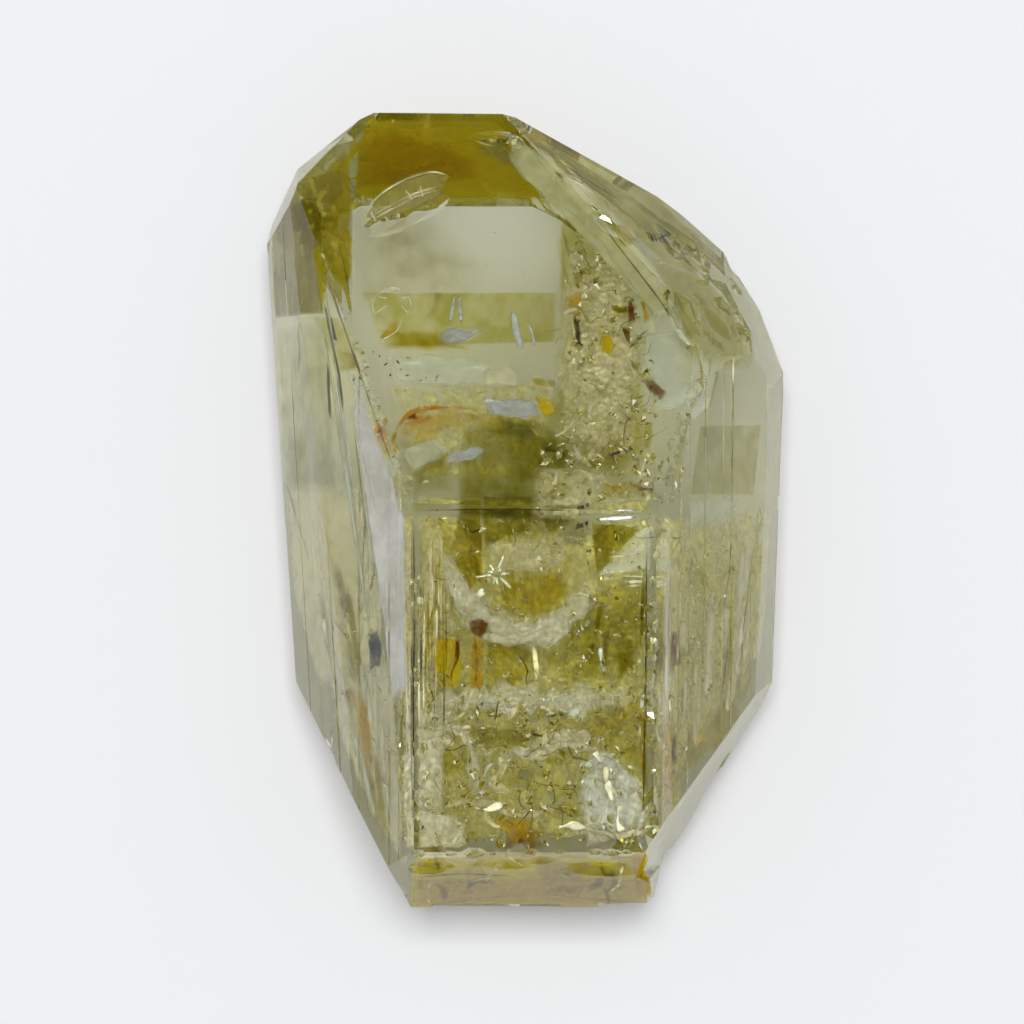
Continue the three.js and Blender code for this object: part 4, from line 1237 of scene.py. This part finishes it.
OLIVE_STREAKS = (
    streaks("left", (1.3, 2.1), (PALE_OLIVE, GREY_OLIVE, PALE_GOLD), (0.4, 1.0), LEFT_FIELD, 9, 21)
    + streaks("left", (2, 4), (GREY_OLIVE, OLIVE), (0.1, 0.3), LEFT_EDGE_FIELD, 8, 22)
    + streaks("right", (3, 6), (PALE_OLIVE, GREY_OLIVE, PALE_GOLD), (0.4, 1.1), RIGHT_FIELD, 12, 23)
    + streaks("dome", (3, 7), (PALE_OLIVE, OLIVE, PALE_GOLD), (0.2, 0.8), DOME_FIELD, 12, 24, about_the_field)
    + streaks("front", (3, 6), (PALE_OLIVE, PALE_GOLD), (0.1, 0.4), FRONT_LEFT_FIELD, 14, 25)
    + streaks("front", (3, 7), (PALE_OLIVE, PALE_GOLD, GOLD), (0.3, 0.9), FRONT_LOW_FIELD, 12, 26,
              about_the_field)
    + streaks("front", (5, 7), (OLIVE, GREY_OLIVE), (0.3, 0.9), BLOCK_FIELD, 12, 27)
    + streaks("front", (5, 7), (OLIVE, PALE_GOLD), (0.3, 0.8), BOWL_FIELD, 10, 28)
    + streaks("base", (0.2, 0.5), (OLIVE, GOLD, PALE_GOLD), (0.2, 0.7), BASE_FIELD, 14, 29, about_the_field)
)
film_piece("milk_streaks", streak_milk, ribbons=MILK_STREAKS)
film_piece("olive_streaks", streak_stain, ribbons=OLIVE_STREAKS)

# %% Hairline cracks
DARK_OLIVE = (0.13, 0.11, 0.03)
HAIR = (0.05, 0.14)
SHADE_OUT = 0.02
EDGE_LINES = [
    # Dark lines along the edges of the front face and of the dome.
    ribbon("front", 0.5, DARK_OLIVE, 0.16, [(-8.5, -0.6), (-8.4, -8), (-8.5, -15), (-8.4, -25.6)]),
    ribbon("front", 0.5, DARK_OLIVE, 0.14, [(9.2, -0.8), (9.1, -12), (9, -18), (8.9, -25.4)]),
    ribbon("front", 0.5, DARK_OLIVE, 0.12, [(-8.2, -0.2), (-2, -0.1), (4, -0.2)]),
    ribbon("dome", 0.6, DARK_OLIVE, 0.2, [(-16, 19.6), (-14.6, 16.2), (-12.6, 10.2), (-9.8, 2.4)]),
    ribbon("dome", 0.6, DARK_OLIVE, 0.14, [(5.4, 22.6), (9.6, 17), (12.4, 13)]),
    ribbon("left", 2, DARK_OLIVE, 0.22, [(-15, 16), (-14.6, 13.8), (-13.8, 10.2), (-13.4, 6.8)]),
    ribbon("left", 4, DARK_OLIVE, 0.3, [(-14.2, 11.4), (-14.1, 9), (-14, 6.8)]),
    ribbon("left", 4, DARK_OLIVE, 0.26, [(-13.4, 10.2), (-13.3, 9.3), (-13.2, 8.4)]),
    ribbon("front", 8, DARK_OLIVE, 0.14, [(8.2, -2.2), (9.1, -2.3), (10, -2.2)]),
    # The shade round the feather.
    ribbon("dome", 1.9, OLIVE, 0.12, [spot + (spot - FEATHER) * SHADE_OUT for spot in feather_rim],
           strength=0.6, ragged=0.8),
    ribbon("front", 4, DARK_OLIVE, 0.3, [(1.8, -15.9), (2.6, -15.7), (3, -15.8)]),
    ribbon("front", 4, DARK_OLIVE, 0.2, [(0.4, -17.2), (1.4, -17.4)]),
    ribbon("base", 0.7, DARK_OLIVE, 0.16, [(-8.4, -28.1), (-5, -27.8), (-0.8, -28)]),
    # Dark marks like strokes of a pen, on the shoulder.
    ribbon("shoulder", 1.2, DARK_BROWN, 0.22, [(9.8, 21.2), (10.1, 20.4)]),
    ribbon("shoulder", 1.2, DARK_BROWN, 0.22, [(10.4, 21.2), (10.7, 20.6), (11, 20.2)]),
    ribbon("shoulder", 1.2, DARK_BROWN, 0.22, [(10.2, 20.6), (10.6, 20.9), (11.1, 21.1)]),
    ribbon("shoulder", 1.2, DARK_BROWN, 0.2, [(11.3, 21), (11.5, 20.3)]),
    ribbon("shoulder", 1.2, DARK_BROWN, 0.2, [(11.7, 20.6), (12.1, 20.1)]),
    ribbon("shoulder", 1.2, DARK_BROWN, 0.18, [(9.3, 20.9), (9.6, 20.7)]),
]
HAIRLINES = (
    streaks("dome", (0.6, 4), (DARK_OLIVE, OLIVE), HAIR, DOME_FIELD, 28, 31, about_the_field)
    + streaks("front", (0.6, 4), (DARK_OLIVE, OLIVE), HAIR, FRONT_FIELD, 26, 32, about_the_field)
    + streaks("front", (0.6, 4), (DARK_OLIVE, RUST_BROWN), HAIR, FRONT_LOW_FIELD, 18, 33, about_the_field)
    + streaks("left", (1, 3), (DARK_OLIVE, OLIVE), HAIR, LEFT_FIELD, 5, 34)
    + streaks("right", (1, 3), (DARK_OLIVE, RUST_BROWN), HAIR, RIGHT_FIELD, 6, 35)
    + streaks("front", (1, 3), (DARK_OLIVE,), HAIR, FRONT_LEFT_FIELD, 10, 36)
    + streaks("base", (0.12, 0.2), (OLIVE, AMBER), HAIR, BASE_FIELD, 9, 37, about_the_field)
)
film_piece("hairlines", streak_stain, ribbons=EDGE_LINES + HAIRLINES)

# %% [markdown]
# ## Cracks that mirror
#
# A crack in clear topaz is a film of air. Light that meets it at more than 38 degrees is mirrored,
# just as at an outer face, so a steep crack shows a piece of the stone's own inside, mostly olive.
# Dark paint would keep its shade from every side, where the mirrored olive comes and goes. So these
# films are clear, with the refractive index of air seen from topaz, one over 1.62.

# %% Air seen from topaz
AIR_IN_TOPAZ = 1 / TOPAZ_IOR


def air_film(name, tint):
    """A clear film of air inside the stone, with a trace of stain on its walls."""
    material, add, link = new_material(name)
    film = add("ShaderNodeBsdfGlass")
    film.inputs["Color"].default_value = (*tint, 1)
    film.inputs["Roughness"].default_value = 0.0
    film.inputs["IOR"].default_value = AIR_IN_TOPAZ
    link(film.outputs[0], add("ShaderNodeOutputMaterial").inputs["Surface"])
    return material


crack_air = air_film("crack_air", (1, 1, 1))
stained_air = air_film("stained_air", (0.99, 0.98, 0.82))

# %% Steep cracks
CRACK_FORM = {"ragged": 0.5, "ripple": 0.25, "thick": 0.04}


def crack(face, depth, tilt, corners):
    """A row in the table of steep cracks."""
    return dict(face=face, depth=depth, tilt=tilt, corners=corners, **CRACK_FORM)


STEEP_CRACKS = [
    crack("front", 9, (0.9, 0.7), [(-5.6, -0.6), (-3.4, -0.4), (-3.4, -4), (-4.6, -4.6)]),
    crack("front", 11, (0.2, 1.3), [(-2.6, -0.6), (2.2, -0.5), (3, -2.6), (0, -3.4), (-2.4, -2.6)]),
    crack("front", 8, (-0.9, 0.5), [(2.6, -0.6), (5, -1), (4.4, -3), (2.8, -2.4)]),
    crack("front", 12, (0.1, -1.1), [(-2, -6), (2.8, -5.6), (2.4, -7.8), (-1.2, -8.2)]),
    crack("front", 12, (-0.2, 1.2), [(4.2, -7), (8.8, -6), (9, -9), (4, -9.6)]),
    crack("front", 12, (0.3, -1.1), [(3, -10), (8.6, -9.8), (8.4, -13), (3.6, -13)]),
    crack("front", 10, (0.8, 0.6), [(-2.8, -10.6), (0.2, -10.6), (0, -13.6), (-2.8, -13.4)]),
    crack("front", 13, (0.1, 1.2), [(-5, -16.4), (2, -16), (2.6, -17.6), (-4, -18)]),
    crack("front", 10, (-0.8, -0.5), [(5.4, -15.8), (9, -15.2), (9, -19.8), (7.4, -18)]),
    crack("front", 12, (0.6, 0.8), [(-5.6, -20), (-1, -20), (-1.6, -23), (-5.4, -23.4)]),
    crack("front", 11, (-0.5, 0.9), [(-0.4, -20), (3.4, -20.4), (3, -24), (-0.6, -24.4)]),
    crack("dome", 7, (0.9, 0.3), [(3.6, 19), (6.6, 17), (6, 12), (3.4, 13)]),
    crack("dome", 7, (-0.5, 0.9), [(4, 10.6), (8, 9), (8.4, 5), (4.4, 5)]),
    crack("dome", 7, (0.3, 1.0), [(3.4, 4.4), (8.2, 4), (8.6, 1), (3.4, 0.8)]),
    crack("dome", 11, (0.2, 1.1), [(-4.6, 4), (0, 5), (3, 2.4), (-3, 1)]),
]
film_piece("steep_cracks", crack_air, STEEP_CRACKS)

# %% [markdown]
# ## Shards
#
# The rough parts of the stone are full of small shell-shaped cracks, each of them a thin lens of air
# that lies its own way. Those that lie steeply mirror something olive, white or dark, and the others
# can hardly be seen, and together they give the stone its broken look. Hundreds of copies of one
# small shape are a job for Geometry Nodes: points are scattered over a zone, sunk to a random depth,
# and each gets a copy of the shard, turned and sized at random.

# %% Shard shape and zones
SHARD_CORNERS = 8
SHARD_SLIM = 0.55
# The rim has three large lobes and five small ones.
LARGE_LOBES, SMALL_LOBES = 0.25, 0.1
SHARD_TOP = (0.08, 0.03, 0.16)
SHARD_FOOT = (0.02, 0, 0.12)


def shard_shape(name):
    """A closed, slightly domed flake one metre across, which the scatter scales down."""
    form = bmesh.new()
    ring = []
    for step in range(SHARD_CORNERS):
        angle = math.tau * step / SHARD_CORNERS
        reach = 0.5 * (1 + LARGE_LOBES * math.sin(3 * angle + 1) + SMALL_LOBES * math.sin(5 * angle))
        ring.append(form.verts.new((reach * math.cos(angle), SHARD_SLIM * reach * math.sin(angle), 0)))
    top = form.verts.new(SHARD_TOP)
    foot = form.verts.new(SHARD_FOOT)
    for start, end in zip(ring, ring[1:] + ring[:1]):
        form.faces.new((start, end, top))
        form.faces.new((end, start, foot))
    mesh = bpy.data.meshes.new(name)
    form.to_mesh(mesh)
    form.free()
    shape = bpy.data.objects.new(name, mesh)
    bpy.context.collection.objects.link(shape)
    return shape


def zone_sheet(name, zones):
    """One flat face for each zone, at its depth under a face of the stone."""
    form = bmesh.new()
    for zone in zones:
        corners = [
            form.verts.new(Vector((x, y, height_on(zone["face"], x, y) - zone["depth"])) * MM)
            for x, y in zone["corners"]
        ]
        form.faces.new(corners)
    bmesh.ops.triangulate(form, faces=form.faces)
    mesh = bpy.data.meshes.new(name)
    form.to_mesh(mesh)
    form.free()
    sheet = bpy.data.objects.new(name, mesh)
    bpy.context.collection.objects.link(sheet)
    return sheet


# %% Scatter tree
def scatter_tree():
    """Geometry Nodes that scatter a shape over a sheet and sink it to a random depth."""
    tree = bpy.data.node_groups.new("scatter", "GeometryNodeTree")
    new_socket = tree.interface.new_socket
    new_socket("Sheet", in_out="INPUT", socket_type="NodeSocketGeometry")
    new_socket("Shape", in_out="INPUT", socket_type="NodeSocketObject")
    new_socket("Paint", in_out="INPUT", socket_type="NodeSocketMaterial")
    for name in ("Copies per square metre", "Smallest", "Largest", "Tilt", "Sink"):
        new_socket(name, in_out="INPUT", socket_type="NodeSocketFloat")
    new_socket("Seed", in_out="INPUT", socket_type="NodeSocketInt")
    new_socket("Pieces", in_out="OUTPUT", socket_type="NodeSocketGeometry")
    add, link = tree.nodes.new, tree.links.new
    given = add("NodeGroupInput").outputs

    def chance(low, high, kind="FLOAT"):
        node = add("FunctionNodeRandomValue")
        node.data_type = kind
        first = 0 if kind == "FLOAT_VECTOR" else 2
        link(low, node.inputs[first])
        link(high, node.inputs[first + 1])
        link(given["Seed"], node.inputs["Seed"])
        return node.outputs[0 if kind == "FLOAT_VECTOR" else 1]

    def vector(x, y, z):
        node = add("ShaderNodeCombineXYZ")
        for socket, value in zip(node.inputs, (x, y, z)):
            if isinstance(value, bpy.types.NodeSocket):
                link(value, socket)
            else:
                socket.default_value = value
        return node.outputs[0]

    def negative(value):
        node = add("ShaderNodeMath")
        node.operation = "MULTIPLY"
        link(value, node.inputs[0])
        node.inputs[1].default_value = -1
        return node.outputs[0]

    points = add("GeometryNodeDistributePointsOnFaces")
    link(given["Sheet"], points.inputs["Mesh"])
    link(given["Copies per square metre"], points.inputs["Density"])
    link(given["Seed"], points.inputs["Seed"])
    sunk = add("GeometryNodeSetPosition")
    link(points.outputs["Points"], sunk.inputs["Geometry"])
    deepest = vector(0, 0, negative(given["Sink"]))
    link(chance(deepest, vector(0, 0, 0), "FLOAT_VECTOR"), sunk.inputs["Offset"])
    shape = add("GeometryNodeObjectInfo")
    link(given["Shape"], shape.inputs["Object"])
    copies = add("GeometryNodeInstanceOnPoints")
    link(sunk.outputs[0], copies.inputs["Points"])
    link(shape.outputs["Geometry"], copies.inputs["Instance"])
    lean = negative(given["Tilt"])
    turns = chance(vector(lean, lean, 0), vector(given["Tilt"], given["Tilt"], math.tau), "FLOAT_VECTOR")
    link(turns, copies.inputs["Rotation"])
    link(chance(given["Smallest"], given["Largest"]), copies.inputs["Scale"])
    real = add("GeometryNodeRealizeInstances")
    link(copies.outputs[0], real.inputs[0])
    painted = add("GeometryNodeSetMaterial")
    link(real.outputs[0], painted.inputs["Geometry"])
    link(given["Paint"], painted.inputs["Material"])
    link(painted.outputs[0], add("NodeGroupOutput").inputs["Pieces"])
    return tree


scatter = scatter_tree()
SOCKETS = {item.name: item.identifier for item in scatter.interface.items_tree if item.in_out == "INPUT"}
print("scatter takes", ", ".join(SOCKETS))


# %% Scattered pieces
def scattered(name, zones, paint, density, sizes, tilt, sink, seed):
    """A piece of many shards in some zones. Density counts copies in a square millimetre."""
    sheet = zone_sheet(name + "_sheet", zones)
    modifier = sheet.modifiers.new("scatter", "NODES")
    modifier.node_group = scatter
    values = {
        "Shape": shard, "Paint": paint, "Copies per square metre": density / MM ** 2,
        "Smallest": sizes[0] * MM, "Largest": sizes[1] * MM,
        "Tilt": math.radians(tilt), "Sink": sink * MM, "Seed": seed,
    }
    for socket, value in values.items():
        modifier[SOCKETS[socket]] = value
    bpy.context.view_layer.update()
    evaluated = sheet.evaluated_get(bpy.context.evaluated_depsgraph_get())
    mesh = bpy.data.meshes.new_from_object(evaluated)
    mesh.name = name
    for point in mesh.vertices:
        point.co = under_the_skin(point.co)
    bpy.data.objects.remove(sheet)
    mesh.shade_flat()
    new_piece(name, mesh)


# %% Shards and glitter
SHARD_TILT = 60
GLITTER_TILT = 40


def zone(face, depth, corners):
    """A field with corners, at a depth under a face."""
    return dict(face=face, depth=depth, corners=corners)


DOME_ROUGH = zone("dome", 1.5, [
    (4.6, 22.2), (6.6, 19.4), (8.8, 15.4), (9.6, 12.4), (10.4, 7.6), (9.4, 0.4), (1, 0.4), (1.4, 4),
    (3.8, 9.2), (2.6, 15.4),
])
FRONT_LOWER = zone("front", 1.5, [(-8, -14), (9.2, -14), (9, -25.6), (-7.8, -25.6)])
FRONT_UPPER = zone("front", 1.5, [(-8, -0.6), (9, -0.6), (9.2, -14), (-8, -14)])
FAR_LEFT = zone("far left", 1, [(-18.6, 1), (-16, 1), (-14.8, -12), (-16, -12)])
LEFT_LOWER = zone("left", 1, [
    (-15.6, -6), (-12.8, -6), (-10, -12), (-9.2, -25), (-10.8, -22), (-13.8, -16),
])
RIGHT_LOWER = zone("right", 1, [(11, -1), (15.4, -2), (15.2, -12), (11.8, -19), (9.8, -22)])
SHOULDER_BRUISED = zone("low shoulder", 1, [(10, 18), (13, 17.4), (16, 12), (13.4, 10.4), (11.4, 14)])
DOME_LEFT_FOOT = zone("dome", 2, [(-10.6, 4), (-4, 3.4), (-3, 1), (-9, 0.6)])

shard = shard_shape("shard")
CRACKED = [
    ("dome_shards", [DOME_ROUGH], 2.4, (0.25, 1.2), 6, 3),
    ("front_shards", [FRONT_LOWER], 2.0, (0.25, 1.2), 7, 4),
    ("upper_shards", [FRONT_UPPER], 1.0, (0.2, 1.0), 6, 5),
    ("side_shards", [LEFT_LOWER, RIGHT_LOWER], 1.6, (0.25, 1.2), 4, 6),
]
for name, zones, density, sizes, sink, seed in CRACKED:
    scattered(name, zones, stained_air, density, sizes, SHARD_TILT, sink, seed)

GLITTERING = [
    FAR_LEFT, DOME_ROUGH, FRONT_LOWER, FRONT_UPPER, LEFT_LOWER, RIGHT_LOWER, SHOULDER_BRUISED,
    DOME_LEFT_FOOT,
]
scattered(
    "glitter", GLITTERING, pale_flash,
    density=1.2, sizes=(0.1, 0.34), tilt=GLITTER_TILT, sink=5, seed=7,
)

# %% [markdown]
# ## Grains and specks
#
# Ochre and umber dirt sits in the worn edges of the dome and of the front face. A few dark mineral
# specks float under the clear windows, and umber ones lie all over the cracked parts. Dots in the
# paint would be flat, so the same tree scatters them, as copies of the same small shape.

# %% Grain paint
GRAIN_ROUGHNESS = 0.7


def grain_paint(name, colour):
    """A plain dull grain."""
    material, add, link = new_material(name)
    grain = add("ShaderNodeBsdfPrincipled")
    grain.inputs["Base Color"].default_value = (*colour, 1)
    grain.inputs["Roughness"].default_value = GRAIN_ROUGHNESS
    link(grain.outputs[0], add("ShaderNodeOutputMaterial").inputs["Surface"])
    return material


ochre = grain_paint("ochre_grain", (0.32, 0.20, 0.02))
umber = grain_paint("umber_grain", (0.10, 0.06, 0.02))
mineral = grain_paint("dark_mineral", (0.03, 0.03, 0.02))

# %% Grains and specks
ANY_TILT = 180
WORN_EDGES = [
    zone("dome", 0.4, [
        (-16.4, 21.4), (-15.8, 18.8), (-14.8, 16.6), (-13.6, 13.4), (-12.4, 9.6), (-10.8, 5), (-9.4, 1.2),
        (-8.9, 1.4), (-10.2, 5.4), (-11.8, 10), (-13, 13.8), (-14, 17), (-15, 19.2), (-15.6, 21.6),
    ]),
    zone("dome", 0.4, [
        (12, 12.6), (12.6, 10.8), (11.8, 8.2), (10.8, 4.4), (10, 0.4), (10.5, 0.4), (11.4, 4.4), (12.4, 8.2),
        (13.1, 10.8), (12.5, 12.8),
    ]),
    zone("front", 0.4, [(-8.5, -0.6), (-8.2, -0.6), (-8.1, -25.6), (-8.4, -25.6)]),
    zone("front", 0.4, [(-8.2, 0), (9.4, 0), (9.4, -0.5), (-8.2, -0.5)]),
    zone("front", 0.5, [(8.6, -14), (9.1, -14), (9, -24), (8.5, -24)]),
]
CLEAR_WINDOWS = [zone("dome", 9, [(-13.4, 18.8), (1.2, 21.6), (1.4, 14.8), (-13, 14.8)])]
SPECKLED = [zone("dome", 7, [(-12, 11), (-5.8, 11), (-5.6, 7.8), (-11.2, 7.8)])]
CRACKED_PARTS = [FRONT_LOWER, DOME_ROUGH, LEFT_LOWER, RIGHT_LOWER]
GRAINS = [
    ("edge_ochre", WORN_EDGES, ochre, "iron_stain", 3.2, (0.08, 0.32), 0.1, 8),
    ("edge_umber", WORN_EDGES, umber, "iron_stain", 1.8, (0.06, 0.24), 0.1, 9),
    ("window_specks", CLEAR_WINDOWS, mineral, "dark_inclusion", 0.16, (0.06, 0.2), 3, 10),
    ("dark_specks", SPECKLED, mineral, "dark_inclusion", 1.0, (0.12, 0.4), 1, 11),
    ("umber_specks", CRACKED_PARTS, umber, "dark_inclusion", 0.35, (0.08, 0.36), 4, 12),
]
for name, zones, paint, slot, density, sizes, sink, seed in GRAINS:
    scattered(name, zones, paint, density, sizes, ANY_TILT, sink, seed)
bpy.data.objects.remove(shard)

# %% [markdown]
#
# The films lie inside the stone, so none may stick out of its skin by more than the few tenths of a
# millimetre that can't be seen.

# %% Nothing sticks out of the stone
for piece in bpy.data.objects:
    if piece.type == "MESH" and piece not in (crystal, floor):
        farthest = 0.0
        for point in piece.data.vertices:
            skin, out, _, _ = stone.find_nearest(point.co)
            farthest = max(farthest, (point.co - skin).dot(out))
        print(piece.name, "reaches", round(farthest / MM, 2), "mm out of the skin")
